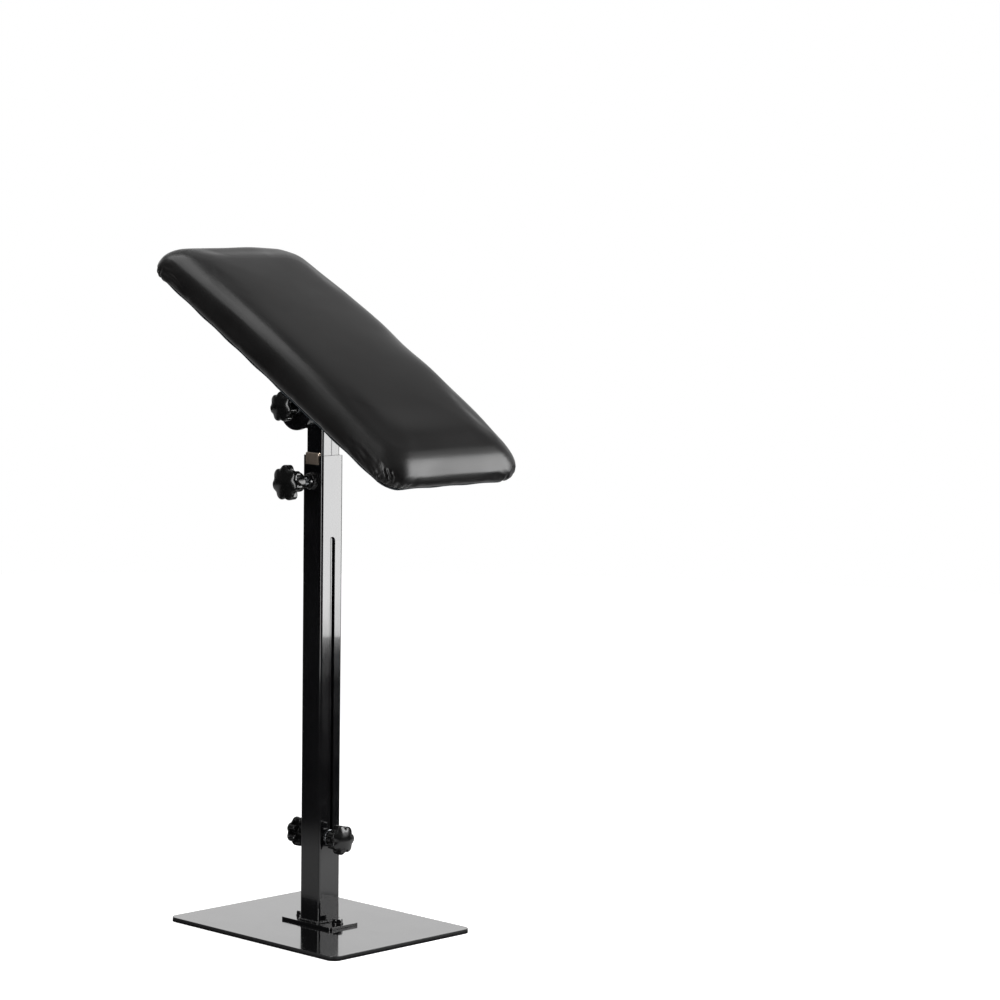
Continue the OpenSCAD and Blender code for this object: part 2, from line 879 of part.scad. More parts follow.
// The lining covers the hem and steps up to the board inside it
module pad_lining() {
  inset = 2 * (hem_inset + slide_gap);
  color([0.24, 0.27, 0.30])
    in_pad()
      difference() {
        union() {
          linear_extrude(lining_t)
            round_rect(pad_w - 2 * lining_inset, pad_l - 2 * lining_inset,
              pad_corner_r - lining_inset);
          linear_extrude(board_under)
            round_rect(pad_w - inset, pad_l - inset, pad_corner_r / 2);
        }
        for (p = screw_places())
          translate([p[0], p[1], -overrun])
            cylinder(h = board_under + 2 * overrun, d = screw_d + 2 * bolt_gap);
      }
}

module staple() {
  translate([-staple_crown / 2, -staple_wire / 2, -staple_wire])
    cube([staple_crown, staple_wire, staple_wire]);
  for (side = [-1, 1])
    translate([side * (staple_crown - staple_wire) / 2 - staple_wire / 2, -staple_wire / 2, 0])
      cube([staple_wire, staple_wire, staple_leg]);
}

module staples() {
  inset = lining_inset + staple_inset;
  half_w = pad_w / 2 - inset;
  half_l = pad_l / 2 - inset;
  long_n = floor((2 * half_l - pad_corner_r) / staple_pitch);
  wide_n = floor((2 * half_w - pad_corner_r) / staple_pitch);
  color(zinc)
    in_pad()
      for (side = [-1, 1]) {
        for (i = [0:long_n])
          translate([side * half_w, (i - long_n / 2) * staple_pitch, 0]) rotate(90) staple();
        for (i = [0:wide_n])
          translate([(i - wide_n / 2) * staple_pitch, side * half_l, 0]) staple();
      }
}

module tilt_washer() {
  color(zinc)
    out_minus_x(hinge_z)
      translate([0, 0, tilt_washer_x])
        washer(knob_washer_d, stud_d + 2 * run_gap, knob_washer_t);
}

module tilt_knob() {
  color(black) out_minus_x(hinge_z) translate([0, 0, tilt_knob_x]) small_knob();
}

module tilt_knob_insert() {
  color(zinc) out_minus_x(hinge_z) translate([0, 0, tilt_knob_x]) knob_insert();
}

base_plate();
column_flange();
outer_tube();
foot_weld();
flange_bolts();
flange_washers();
clamp_nut();
clamp_nut_weld();
pressure_strip();
clamp_stud();
clamp_knob();
inner_tube();
mast_top_plug();
fixed_disc();
fixed_disc_weld();
tilt_bolt();
lower_stud();
front_washer();
front_knob();
front_knob_insert();
rear_washer();
rear_knob();
rear_knob_insert();
pad_bracket();
moving_disc();
moving_disc_weld();
bracket_screws();
board_nuts();
pad_board();
pad_foam();
pad_cover();
pad_lining();
staples();
tilt_washer();
tilt_knob();
tilt_knob_insert();
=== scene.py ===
# %% [markdown]
# # An arm rest stand with a tilting pad
#
# A flat steel plate carries a square column. A thinner square mast slides inside the column, and a long
# padded rest tilts on the mast's top. Star knobs set the height and the tilt.
#
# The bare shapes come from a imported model, the frame. This lesson gives every piece its finish, and makes
# again the pieces whose look needs more than a bare shape: knobs, screws, welds, staples and the leather.

# %% Load the frame
import json
import math
import random

import bmesh
import bpy
import numpy as np
from mathutils import Matrix, Vector, noise


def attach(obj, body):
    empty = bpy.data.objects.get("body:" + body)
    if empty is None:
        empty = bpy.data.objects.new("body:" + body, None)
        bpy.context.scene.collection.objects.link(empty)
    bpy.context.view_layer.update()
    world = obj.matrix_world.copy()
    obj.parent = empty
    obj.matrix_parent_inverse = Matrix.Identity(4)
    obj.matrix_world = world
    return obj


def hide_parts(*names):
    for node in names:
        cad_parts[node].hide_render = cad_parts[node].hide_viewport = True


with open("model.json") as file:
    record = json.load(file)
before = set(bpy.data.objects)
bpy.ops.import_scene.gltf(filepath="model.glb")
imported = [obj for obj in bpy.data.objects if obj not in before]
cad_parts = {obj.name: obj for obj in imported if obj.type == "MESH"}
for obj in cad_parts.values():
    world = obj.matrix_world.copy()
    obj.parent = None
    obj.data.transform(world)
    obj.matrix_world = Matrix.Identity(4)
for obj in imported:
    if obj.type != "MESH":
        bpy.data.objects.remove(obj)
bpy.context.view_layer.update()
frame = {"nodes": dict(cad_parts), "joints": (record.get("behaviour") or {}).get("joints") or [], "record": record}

MM = 0.001
NODES = frame["nodes"]
BODIES = frame["record"]["behaviour"]["bodies"]
BODY_OF = {node: body for body, members in BODIES.items() for node in members}
print(f"{len(NODES)} pieces on {len(BODIES)} moving bodies")

# %% [markdown]
# ## Where things are
#
# The column stands upright, so its pieces lie along the frame's own axes. The pad leans. Its pieces are
# easier to shape lying flat, so two matrices are made here: `HEAD` sits on the tilt axis and leans with
# the pad, and `PAD` is the same frame moved to the middle of the pad's underside. The lean is read from the
# joint: at its upper limit the pad stands at 90 degrees.

# %% Frames of the tilting head and of the pad
JOINTS = {joint["name"]: joint for joint in frame["joints"]}
tilt_joint = JOINTS["pad_tilt"]
hinge = Vector(tilt_joint["pos_m"])
lean = math.radians(90 - tilt_joint["range_deg"][1])
HEAD = Matrix.Translation(hinge) @ Matrix.Rotation(lean, 4, "X")


def box_of(mesh, matrix):
    """Lowest and highest corner of a mesh, measured in another frame."""
    back = matrix.inverted()
    points = [back @ v.co for v in mesh.vertices]
    return (Vector(min(p[i] for p in points) for i in range(3)),
            Vector(max(p[i] for p in points) for i in range(3)))


def box_in(node, matrix):
    """The same for a CAD node."""
    return box_of(NODES[node].data, matrix)


lining_low, lining_high = box_in("pad_lining", HEAD)
PAD = HEAD @ Matrix.Translation(((lining_low.x + lining_high.x) / 2, 0, lining_low.z))
pad_low, pad_high = box_in("pad_cover", PAD)
pad_size = pad_high - pad_low
print("the pad leans", round(math.degrees(lean), 1), "degrees and measures",
      [round(side / MM) for side in pad_size], "mm")

# %% [markdown]
# ## The camera
#
# The picture this stand is matched to was taken from about 3.5 m away with a long lens, above the pad's
# middle, and not quite level. The stand isn't in the middle of the picture, so the camera is aimed
# past it. These numbers came from fitting a pinhole camera to the corners of the base and the column.

# %% Camera
PICTURE_PX = 1000
SENSOR_W = 36.0
focal_px = 3362
camera_distance = 3.536
camera_height = 0.801
camera_turn = math.radians(42.70)
aim_right = math.radians(3.03)
look_down = math.radians(5.51)
camera_roll = math.radians(0.74)


def place_camera():
    """Looks from behind -X and -Y, turned, tipped and rolled as the fitted camera was."""
    right = Vector((math.cos(camera_turn), -math.sin(camera_turn), 0))
    ahead = Vector((math.sin(camera_turn), math.cos(camera_turn), 0))
    up = Vector((0, 0, 1))
    place = -camera_distance * ahead + camera_height * up
    right, ahead = (right * math.cos(aim_right) - ahead * math.sin(aim_right),
                    right * math.sin(aim_right) + ahead * math.cos(aim_right))
    ahead, up = (ahead * math.cos(look_down) - up * math.sin(look_down),
                 ahead * math.sin(look_down) + up * math.cos(look_down))
    right, up = (right * math.cos(camera_roll) + up * math.sin(camera_roll),
                 up * math.cos(camera_roll) - right * math.sin(camera_roll))
    data = bpy.data.cameras.new("camera")
    data.sensor_width = SENSOR_W
    data.lens = focal_px * SENSOR_W / PICTURE_PX
    camera = bpy.data.objects.new("camera", data)
    bpy.context.scene.collection.objects.link(camera)
    camera.matrix_world = Matrix((
        (right.x, up.x, -ahead.x, place.x),
        (right.y, up.y, -ahead.y, place.y),
        (right.z, up.z, -ahead.z, place.z),
        (0, 0, 0, 1)))
    bpy.context.scene.camera = camera
    return camera


camera = place_camera()
print("lens of", round(camera.data.lens, 1), "mm")

# %% [markdown]
# ## Nodes and colours
#
# A material is a small chart of nodes. One function adds a node, sets its properties and fills or links its
# inputs. Colours are written as the hex values that a paint chart gives, and one function turns them to
# the linear light values that the renderer works in. Arithmetic is written as brackets inside brackets,
# operation first, and one function turns such a formula to a chain of nodes.


# %% Helpers for nodes and colours
def socket(sockets, key):
    """The socket of that number, or the first one in use that has that name."""
    if isinstance(key, int):
        return sockets[key]
    return next(s for s in sockets if s.name == key and s.enabled)


def add(tree, kind, inputs=None, **settings):
    """Adds one node with its settings, and fills or links its inputs."""
    made = tree.nodes.new(kind)
    for key, value in settings.items():
        setattr(made, key, value)
    for key, value in (inputs or {}).items():
        into = socket(made.inputs, key)
        if isinstance(value, bpy.types.NodeSocket):
            tree.links.new(value, into)
        else:
            into.default_value = value
    return made


def formula(tree, operation, *parts):
    """A chain of arithmetic nodes. A part is a number, a socket, or a bracket with a formula of its own."""
    parts = [formula(tree, *part) if isinstance(part, tuple) else part for part in parts]
    return add(tree, "ShaderNodeMath", dict(enumerate(parts)), operation=operation).outputs[0]


def ranges(value, start, end, low=0.0, high=1.0):
    """The inputs that turn a value that goes from start to end into one that goes from low to high."""
    return {"Value": value, "From Min": start, "From Max": end, "To Min": low, "To Max": high}


def linear(hex_code):
    """An sRGB hex colour such as "1c1b1a" as linear RGBA."""
    shares = [int(hex_code[i:i + 2], 16) / 255 for i in (0, 2, 4)]
    return [s / 12.92 if s <= 0.04045 else ((s + 0.055) / 1.055) ** 2.4 for s in shares] + [1.0]


def blank_material(name):
    """A material without nodes, and its tree."""
    material = bpy.data.materials.new(name)
    material.use_nodes = True
    material.node_tree.nodes.clear()
    return material, material.node_tree


print("half grey, 808080, is", round(linear("808080")[0], 3), "in linear light")


# %% [markdown]
# ## The studio
#
# The background of the picture is pure white. A white that bright would flood a real studio, so the
# world and the floor are white only to the camera and to mirror-like reflections. What lights the object
# is plain: an even sky and five soft lights. The tall one to the right is what the column's bright face
# mirrors, and a dimmer one stands on top of it. The narrow one to the left draws the thin lines along the
# tubes' round corners. One hangs overhead, and a very weak one stands behind.
#
# Gloss needs something to mirror, so the world that reflections see has parts, as a studio has: a white
# backdrop behind the stand, a dark room on the camera's side, dim air above and darkness below. Without the
# dark room the knobs and the pad's side would look grey.

# %% World
SKY_LIGHT = 0.42
BACKDROP_EDGE_SHARE = 0.45
BACKDROP_FULL_SHARE = 0.85
ROOM_LIGHT = 0.05
BACKDROP_TOP_SHARE = 0.36
BACKDROP_FADE_SHARE = 0.16
AIR_LOW_SHARE = 0.30
AIR_HIGH_SHARE = 0.62
UPPER_AIR_LIGHT = 0.26
BELOW_LIGHT = 0.03
HORIZON_SHARE = 0.03
BEHIND = (math.sin(camera_turn), math.cos(camera_turn), 0)
TO_RIGHT = (math.cos(camera_turn), -math.sin(camera_turn), 0)


def make_world():
    """White to the camera, a backdrop band to reflections, an even plain sky to everything else."""
    world = bpy.data.worlds.new("studio")
    world.use_nodes = True
    tree = world.node_tree
    tree.nodes.clear()
    direction = add(tree, "ShaderNodeTexCoord").outputs["Generated"]
    height = add(tree, "ShaderNodeSeparateXYZ", {0: direction}).outputs["Z"]
    behind = add(tree, "ShaderNodeVectorMath", {0: direction, 1: BEHIND},
                 operation="DOT_PRODUCT").outputs["Value"]
    rules = (
        ranges(behind, BACKDROP_EDGE_SHARE, BACKDROP_FULL_SHARE, ROOM_LIGHT, 1.0),
        ranges(height, -HORIZON_SHARE, HORIZON_SHARE, BELOW_LIGHT, 1.0),
        ranges(height, BACKDROP_TOP_SHARE, BACKDROP_TOP_SHARE + BACKDROP_FADE_SHARE, 1.0, 0.0),
        ranges(height, AIR_LOW_SHARE, AIR_HIGH_SHARE, 0.0, UPPER_AIR_LIGHT),
    )
    width, lower, upper, air = (add(tree, "ShaderNodeMapRange", rule).outputs[0] for rule in rules)
    band = formula(tree, "MAXIMUM", ("MULTIPLY", ("MULTIPLY", lower, width), upper), air)
    path = add(tree, "ShaderNodeLightPath").outputs
    mirrored = formula(tree, "MAXIMUM", path["Is Glossy Ray"], path["Is Transmission Ray"])
    seen = add(tree, "ShaderNodeMix", {"Factor": mirrored, "A": SKY_LIGHT, "B": band}, data_type="FLOAT")
    strength = add(tree, "ShaderNodeMix", {
        "Factor": path["Is Camera Ray"], "A": seen.outputs[0], "B": 1.0}, data_type="FLOAT")
    light = add(tree, "ShaderNodeBackground", {
        "Color": (1, 1, 1, 1), "Strength": strength.outputs[0]})
    add(tree, "ShaderNodeOutputWorld", {"Surface": light.outputs[0]})
    bpy.context.scene.world = world


make_world()
bpy.context.scene.view_settings.view_transform = "Standard"
print("world: camera sees 1.0, the sky lights at", SKY_LIGHT)


# %% Lights
def soft_light(name, place, target, size, radiance):
    """A rectangular area light aimed at a point. Its power follows from its area and its brightness."""
    width, height = size
    data = bpy.data.lights.new(name, "AREA")
    data.shape = "RECTANGLE"
    data.size = width
    data.size_y = height
    data.energy = radiance * math.pi * width * height
    light = bpy.data.objects.new(name, data)
    bpy.context.scene.collection.objects.link(light)
    place, target = Vector(place), Vector(target)
    facing = (target - place).to_track_quat("-Z", "Y").to_matrix().to_4x4()
    light.matrix_world = Matrix.Translation(place) @ facing
    light.visible_camera = False
    return light


def around(angle_deg, distance, height):
    """A place round the stand, at an angle to the right of the camera's side."""
    turn = camera_turn - math.radians(angle_deg)
    return (-distance * math.sin(turn), -distance * math.cos(turn), height)


RIGHT_DEG = 84
TUBES_MIDDLE = (0, 0, 0.45)
HEAD_MIDDLE = (0, 0, 0.58)
LIGHTS = {
    # name: (place, the point it is aimed at, width and height in metres, brightness)
    "light_right": (around(RIGHT_DEG, 1.30, 0.66), HEAD_MIDDLE, (0.62, 1.06), 8.3),
    "light_left": (around(-38, 1.40, 0.60), TUBES_MIDDLE, (0.40, 1.10), 7.0),
    "light_above": ((-0.32, 0.50, 1.65), (-0.05, 0.05, 0.65), (1.0, 0.7), 2.1),
    "light_right_top": (around(RIGHT_DEG, 1.22, 1.36), HEAD_MIDDLE, (0.62, 0.36), 1.9),
    "light_back": (around(168, 1.00, 1.46), (0, 0.05, 0.62), (0.8, 0.8), 0.18),
}
for name, row in LIGHTS.items():
    soft_light(name, *row)
print(len(LIGHTS), "soft lights")

# %% [markdown]
# The floor is a plain white disc. Its own colour takes the light and the shadow, and a little glow, which
# only the camera sees, lifts it to white so that no edge shows against the backdrop. In the gloss of the
# column the picture shows white paper near the stand, shaded on the left, and a dark floor past it. Behind
# the stand the paper runs on. Close to the plate it is dark with the plate's own shadow. The floor's colour
# that only reflections see is dark past the paper, and it holds painted shade on the left and a painted
# shadow in a strip beside the plate. A low grey scrim to the right stands in the way of the light's second
# reflection, from the column's foot into the plate, as a photographer would place it. Only reflections see
# the scrim.

# %% Floor and scrim
FLOOR_R = 3.2
FLOOR_GLOW = 0.66
SHEET_R = 0.44
SHEET_FADE_R = 0.62
# Painted shade on the paper's left, as a share of its white, seen only in reflections.
LEFT_SHADE = 0.42
SHADE_EDGE = 0.08
SWEEP_START = 0.30
SWEEP_FULL = 0.60
# Width in metres of the painted shadow beside the plate, seen only in reflections.
CONTACT_SHADOW = 0.030
SCRIM_W = 0.34
SCRIM_H = 0.19
SCRIM_AWAY = 0.45
SCRIM_FOOT = 0.001


def loose_piece(bm, name):
    """A plain object made from a bmesh."""
    mesh = bpy.data.meshes.new(name)
    bm.to_mesh(mesh)
    bm.free()
    piece = bpy.data.objects.new(name, mesh)
    bpy.context.scene.collection.objects.link(piece)
    return piece


def make_floor(plate_corner):
    """A white disc just under the base plate, which ends at that corner. To reflections its colour holds painted
    shade on the left and a painted shadow beside the plate.
    """
    bm = bmesh.new()
    bmesh.ops.create_circle(bm, cap_ends=True, segments=96, radius=FLOOR_R)
    floor = loose_piece(bm, "floor")
    material, tree = blank_material("white_paper_sweep")
    path = add(tree, "ShaderNodeLightPath").outputs
    place = add(tree, "ShaderNodeTexCoord").outputs["Object"]
    out = add(tree, "ShaderNodeVectorMath", {0: place}, operation="LENGTH").outputs["Value"]
    right, back = (add(tree, "ShaderNodeVectorMath", {0: place, 1: way},
                       operation="DOT_PRODUCT").outputs["Value"] for way in (TO_RIGHT, BEHIND))
    past = add(tree, "ShaderNodeVectorMath", {0: place}, operation="ABSOLUTE").outputs[0]
    past = add(tree, "ShaderNodeVectorMath", {0: past, 1: plate_corner}, operation="SUBTRACT").outputs[0]
    past = add(tree, "ShaderNodeSeparateXYZ", {0: past}).outputs
    # For reflections only: the paper's reach, painted shade on its left, the sweep behind, and a painted shadow in
    # a strip beside the plate.
    rules = (
        ranges(out, SHEET_FADE_R, SHEET_R),
        ranges(right, -SHADE_EDGE, SHADE_EDGE, LEFT_SHADE),
        ranges(back, SWEEP_START, SWEEP_FULL),
        ranges(formula(tree, "MAXIMUM", past["X"], past["Y"]), 0.0, CONTACT_SHADOW),
    )
    sheet, side, sweep, painted_plate_shadow = (add(tree, "ShaderNodeMapRange", rule).outputs[0] for rule in rules)
    paper_seen = ("MULTIPLY", ("MAXIMUM", ("MULTIPLY", sheet, side), sweep), painted_plate_shadow)
    pale = formula(tree, "MAXIMUM", paper_seen, ("SUBTRACT", 1.0, path["Is Glossy Ray"]))
    # Glossy rays see 262626 past the paper, in the painted shade and in the painted shadow; other rays see the
    # white paper.
    colour = add(tree, "ShaderNodeMix", {
        "Factor": pale, "A": linear("262626"), "B": linear("f2f2f2")}, data_type="RGBA").outputs["Result"]
    paper = add(tree, "ShaderNodeBsdfDiffuse", {"Color": colour})
    lit = add(tree, "ShaderNodeEmission", {
        "Color": (1, 1, 1, 1), "Strength": formula(tree, "MULTIPLY", path["Is Camera Ray"], FLOOR_GLOW)})
    both = add(tree, "ShaderNodeAddShader", {0: paper.outputs[0], 1: lit.outputs[0]})
    add(tree, "ShaderNodeOutputMaterial", {"Surface": both.outputs[0]})
    floor.data.materials.append(material)
    return floor


def make_scrim():
    """An upright sheet of grey scrim to the right that only reflections see."""
    across = Vector(BEHIND) * (SCRIM_W / 2)
    up = Vector((0, 0, SCRIM_H))
    foot = Vector(around(RIGHT_DEG, SCRIM_AWAY, SCRIM_FOOT))
    bm = bmesh.new()
    corners = (foot - across, foot + across, foot + across + up, foot - across + up)
    bm.faces.new([bm.verts.new(corner) for corner in corners])
    scrim = loose_piece(bm, "grey_scrim")
    material, tree = blank_material("grey_scrim_cloth")
    cloth = add(tree, "ShaderNodeBsdfTransparent", {"Color": linear("7c7c7c")})
    add(tree, "ShaderNodeOutputMaterial", {"Surface": cloth.outputs[0]})
    scrim.data.materials.append(material)
    for ray in ("camera", "diffuse", "transmission", "shadow"):
        setattr(scrim, "visible_" + ray, False)
    return scrim


make_floor(box_in("base_plate", Matrix())[1])
make_scrim()
print("floor of", 2 * FLOOR_R, "m across and a scrim of", SCRIM_H, "m")

# %% [markdown]
# ## Finishes
#
# Each material below is named for what it is on the real stand. A finish has three sources of detail: a
# slow change of colour, a change of roughness, and relief, which is bumps of a real depth. Patterns drive
# them. A pattern's size is a real one, in millimetres, and a plain number stands for soft random noise of
# that grain. Patterns read object coordinates, which are metres from the stand's foot.


# %% A start for every material
NOISE_LOW = 0.35
NOISE_HIGH = 0.65


def draw(tree, place, size_mm, kind="Noise", inputs=None, output=0, mapping=None, **settings):
    """One texture that repeats about every size_mm, on coordinates that may be turned or stretched."""
    if mapping:
        place = add(tree, "ShaderNodeMapping", {"Vector": place, **mapping}).outputs[0]
    inputs = {"Vector": place, "Scale": 1 / (size_mm * MM), **(inputs or {})}
    return add(tree, "ShaderNodeTex" + kind, inputs, **settings).outputs[output]


def finish(name, patterns, colours, roughness, relief=(), **rest):
    """A material. Colours and roughness are plain, or say their pattern and its lowest and highest value.

    Relief is rows of (pattern, depth in mm, strength), the lowest layer first."""
    material, tree = blank_material(name)
    place = add(tree, "ShaderNodeTexCoord").outputs["Object"]
    drawn = {}
    for key, row in patterns.items():
        if isinstance(row, tuple):
            drawn[key] = formula(tree, row[0], *(drawn[other] for other in row[1:]))
        else:
            drawn[key] = draw(tree, place, **(row if isinstance(row, dict) else {"size_mm": row}))
    inputs = {key.replace("_", " "): value for key, value in rest.items()}
    if isinstance(colours, tuple):
        key, dark, pale = colours
        inputs["Base Color"] = add(tree, "ShaderNodeMix", {
            "Factor": drawn[key], "A": linear(dark), "B": linear(pale)}, data_type="RGBA").outputs["Result"]
    else:
        inputs["Base Color"] = linear(colours)
    if isinstance(roughness, tuple):
        key, low, high = roughness
        roughness = add(tree, "ShaderNodeMapRange", ranges(
            drawn[key], NOISE_LOW, NOISE_HIGH, low, high)).outputs[0]
    inputs["Roughness"] = roughness
    for key, depth_mm, strength in relief:
        layer = {"Height": drawn[key], "Distance": depth_mm * MM, "Strength": strength}
        if "Normal" in inputs:
            layer["Normal"] = inputs["Normal"]
        inputs["Normal"] = add(tree, "ShaderNodeBump", layer).outputs[0]
    shader = add(tree, "ShaderNodeBsdfPrincipled", inputs)
    add(tree, "ShaderNodeOutputMaterial", {"Surface": shader.outputs[0]})
    print("finish:", name, "from", len(patterns), "patterns")
    return material


# %% [markdown]
# **Baked enamel on steel.** The plate, the tubes, the discs and the bracket are sprayed black and baked. The
# paint flows out to a mirror with a faint orange peel, the waviness that a spray gun leaves every few
# millimetres, and a thin clear layer gives the strong shine at low angles.

# %% Black enamel
PEEL_MM = 3.0
FILM_MM = 40.0
ENAMEL = finish(
    "baked_black_enamel", {"peel": PEEL_MM, "film": FILM_MM}, ("film", "070708", "0b0b0d"),
    ("film", 0.10, 0.16), [("peel", 0.004, 1.0)], Coat_Weight=0.7, Coat_Roughness=0.03)

# %% [markdown]
# **Weld under paint** is the same enamel over a rough bead, so it is bumpier and breaks the light to
# sparks.

# %% Painted weld
SPATTER_MM = 0.8
PAINTED_WELD = finish(
    "enamel_over_weld", {"spatter": SPATTER_MM}, "0a0a0b", ("spatter", 0.12, 0.26),
    [("spatter", 0.05, 1.0)], Coat_Weight=0.35, Coat_Roughness=0.05)

# %% [markdown]
# **Coated leathercloth.** The pad wears a supple black vinyl leather. Its grain is a net of tiny pebbles
# about a millimetre across with finer wrinkles in them. The top coat is satin: it spreads a highlight
# widely. A real grain is finer than a render of the whole stand can show, so it is drawn at 1.3 mm.

# %% Black leather
PEBBLE_MM = 1.3
WRINKLE_MM = 0.45
STRETCH_MM = 60.0
LEATHER = finish(
    "black_vinyl_leather",
    {
        "pebbles": {"size_mm": PEBBLE_MM, "kind": "Voronoi", "inputs": {"Randomness": 0.9},
                    "output": "Distance", "feature": "SMOOTH_F1"},
        "wrinkles": {"size_mm": WRINKLE_MM, "inputs": {"Detail": 4.0}},
        "stretch": STRETCH_MM,
    },
    ("stretch", "090808", "100f0f"), ("stretch", 0.31, 0.38),
    [("pebbles", 0.06, 0.35), ("wrinkles", 0.02, 0.5)])

# %% [markdown]
# **Backing cloth.** The underside is covered by a thin blue-grey dust cloth with a smooth calendered
# face. Its threads run along and across the pad, so the weave's coordinates lean with it.

# %% Underside cloth
THREAD_MM = 1.1
SHADE_MM = 45.0
LEANING = {"Rotation": (-lean, 0, 0)}
WAVES = {"size_mm": THREAD_MM * math.tau, "kind": "Wave", "inputs": {"Distortion": 0.6}, "output": 1,
         "mapping": LEANING}
BACKING = finish(
    "calendered_backing_cloth",
    {
        "along": {**WAVES, "bands_direction": "X"},
        "across": {**WAVES, "bands_direction": "Y"},
        "weave": ("MAXIMUM", "along", "across"),
        "shade": {"size_mm": SHADE_MM, "mapping": LEANING},
    },
    ("shade", "2a3036", "3a4148"), ("shade", 0.42, 0.52), [("weave", 0.03, 0.4)], Sheen_Weight=0.10)

# %% [markdown]
# **Moulded plastic.** The knobs are moulded nylon, polished in the mould: nearly black, glossy, with a
# very faint flow texture. The plug in the mast's top is the same plastic with a dull face.

# %% Moulded plastics
FLOW_MM = 6.0
GRAIN_MM = 0.5
KNOB_NYLON = finish(
    "polished_black_nylon", {"flow": FLOW_MM}, "0a0a0a", ("flow", 0.14, 0.22), [("flow", 0.02, 1.0)])
PLUG_NYLON = finish("dull_black_nylon", {"grain": GRAIN_MM}, "111111", 0.5, [("grain", 0.01, 1.0)])

# %% [markdown]
# **Metals.** Screws, studs, washers and staples are zinc plated: bright, with a crystalline mottle. The strip
# hooked over the column's top is bare rolled steel, which is warmer and has fine scratches along its
# length. The threaded inserts in the knobs are brass.

# %% Metals
MOTTLE_MM = 2.0
ROLL_MARK_MM = 0.35
ROLL_STRETCH = 0.04
STAIN_MM = 8.0
TARNISH_MM = 1.5
ZINC = finish(
    "zinc_plate", {"mottle": MOTTLE_MM}, ("mottle", "b4b8bd", "d6d9dc"), ("mottle", 0.18, 0.32),
    [("mottle", 0.01, 1.0)], Metallic=1.0)
ROLLED_STEEL = finish(
    "rolled_steel",
    {"marks": {"size_mm": ROLL_MARK_MM, "mapping": {"Scale": (1, 1, ROLL_STRETCH)}}, "stain": STAIN_MM},
    ("stain", "a8988a", "c4b5a6"), ("marks", 0.34, 0.48), [("marks", 0.01, 1.0)], Metallic=1.0)
BRASS = finish(
    "turned_brass", {"tarnish": TARNISH_MM}, ("tarnish", "9c7a3c", "c6a35a"), ("tarnish", 0.25, 0.4),
    Metallic=1.0)

# %% [markdown]
# **Inside the pad** lie a birch plywood board, with grain that runs the long way, and a block of
# open-cell foam with pores of about a millimetre.

# %% Board and foam
PLY_GRAIN_MM = 4.0
PLY_STRETCH = 0.08
PORE_MM = 1.0
PLYWOOD = finish(
    "birch_plywood",
    {"grain": {"size_mm": PLY_GRAIN_MM, "inputs": {"Detail": 4.0},
               "mapping": {**LEANING, "Scale": (1, PLY_STRETCH, 1)}}},
    ("grain", "a9825a", "d0ad80"), ("grain", 0.6, 0.75), [("grain", 0.05, 1.0)])
FOAM = finish(
    "open_cell_foam", {"pores": {"size_mm": PORE_MM, "kind": "Voronoi", "output": "Distance"}},
    ("pores", "c9bb86", "e3d8ad"), 0.95, [("pores", 0.3, 1.0)])
print(len(bpy.data.materials), "materials")

# %% [markdown]
# ## From bare solid to finished steel
#
# A sawn or punched edge is never perfectly sharp: it is broken by a tumbling drum and rounded again by
# paint. That thin round edge is what catches the light, so every hard piece gets one. The frame's meshes are
# loose triangles, so a copy is welded, its flat faces are made whole, its corners are bevelled, and its
# normals are weighted by area, which keeps the flats flat in the reflections.

# %% Helpers for pieces
WELD_DISTANCE = 0.002 * MM
SHARP = math.radians(28)
KEEP_SHARP = math.radians(50)


def welded_copy(node):
    """A copy of a CAD node's mesh with its doubles merged and its flat faces whole."""
    bm = bmesh.new()
    bm.from_mesh(NODES[node].data)
    bmesh.ops.remove_doubles(bm, verts=bm.verts, dist=WELD_DISTANCE)
    bmesh.ops.dissolve_limit(bm, angle_limit=math.radians(0.5), verts=bm.verts, edges=bm.edges)
    return bm


def round_edges(bm, width_mm, steps=2, chosen=None):
    """Bevels the sharp edges, or those that chosen(edge) picks."""
    edges = [e for e in bm.edges if e.is_manifold and e.calc_face_angle(0) > SHARP
             and (chosen is None or chosen(e))]
    bmesh.ops.bevel(bm, geom=edges, offset=width_mm * MM, segments=steps, profile=0.5,
                    affect="EDGES", clamp_overlap=True)


def as_piece(bm, name, material):
    """Makes the mesh an object with smooth shading whose flat faces stay flat."""
    for face in bm.faces:
        face.smooth = True
    for edge in bm.edges:
        edge.smooth = edge.calc_face_angle(0) < KEEP_SHARP
    piece = loose_piece(bm, name)
    piece.data.materials.append(material)
    weighted = piece.modifiers.new("weighted", "WEIGHTED_NORMAL")
    weighted.keep_sharp = True
    return bake(piece)


def bake(piece):
    """Turns an object and its modifiers into a plain mesh."""
    depsgraph = bpy.context.evaluated_depsgraph_get()
    mesh = bpy.data.meshes.new_from_object(piece.evaluated_get(depsgraph), depsgraph=depsgraph)
    piece.modifiers.clear()
    old = piece.data
    piece.data = mesh
    bpy.data.meshes.remove(old)
    mesh.name = piece.name
    return piece


def stand_in(piece, *nodes):
    """The piece replaces those CAD nodes: it joins the first one's body, and they are hidden."""
    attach(piece, BODY_OF[nodes[0]])
    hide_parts(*nodes)
    return piece


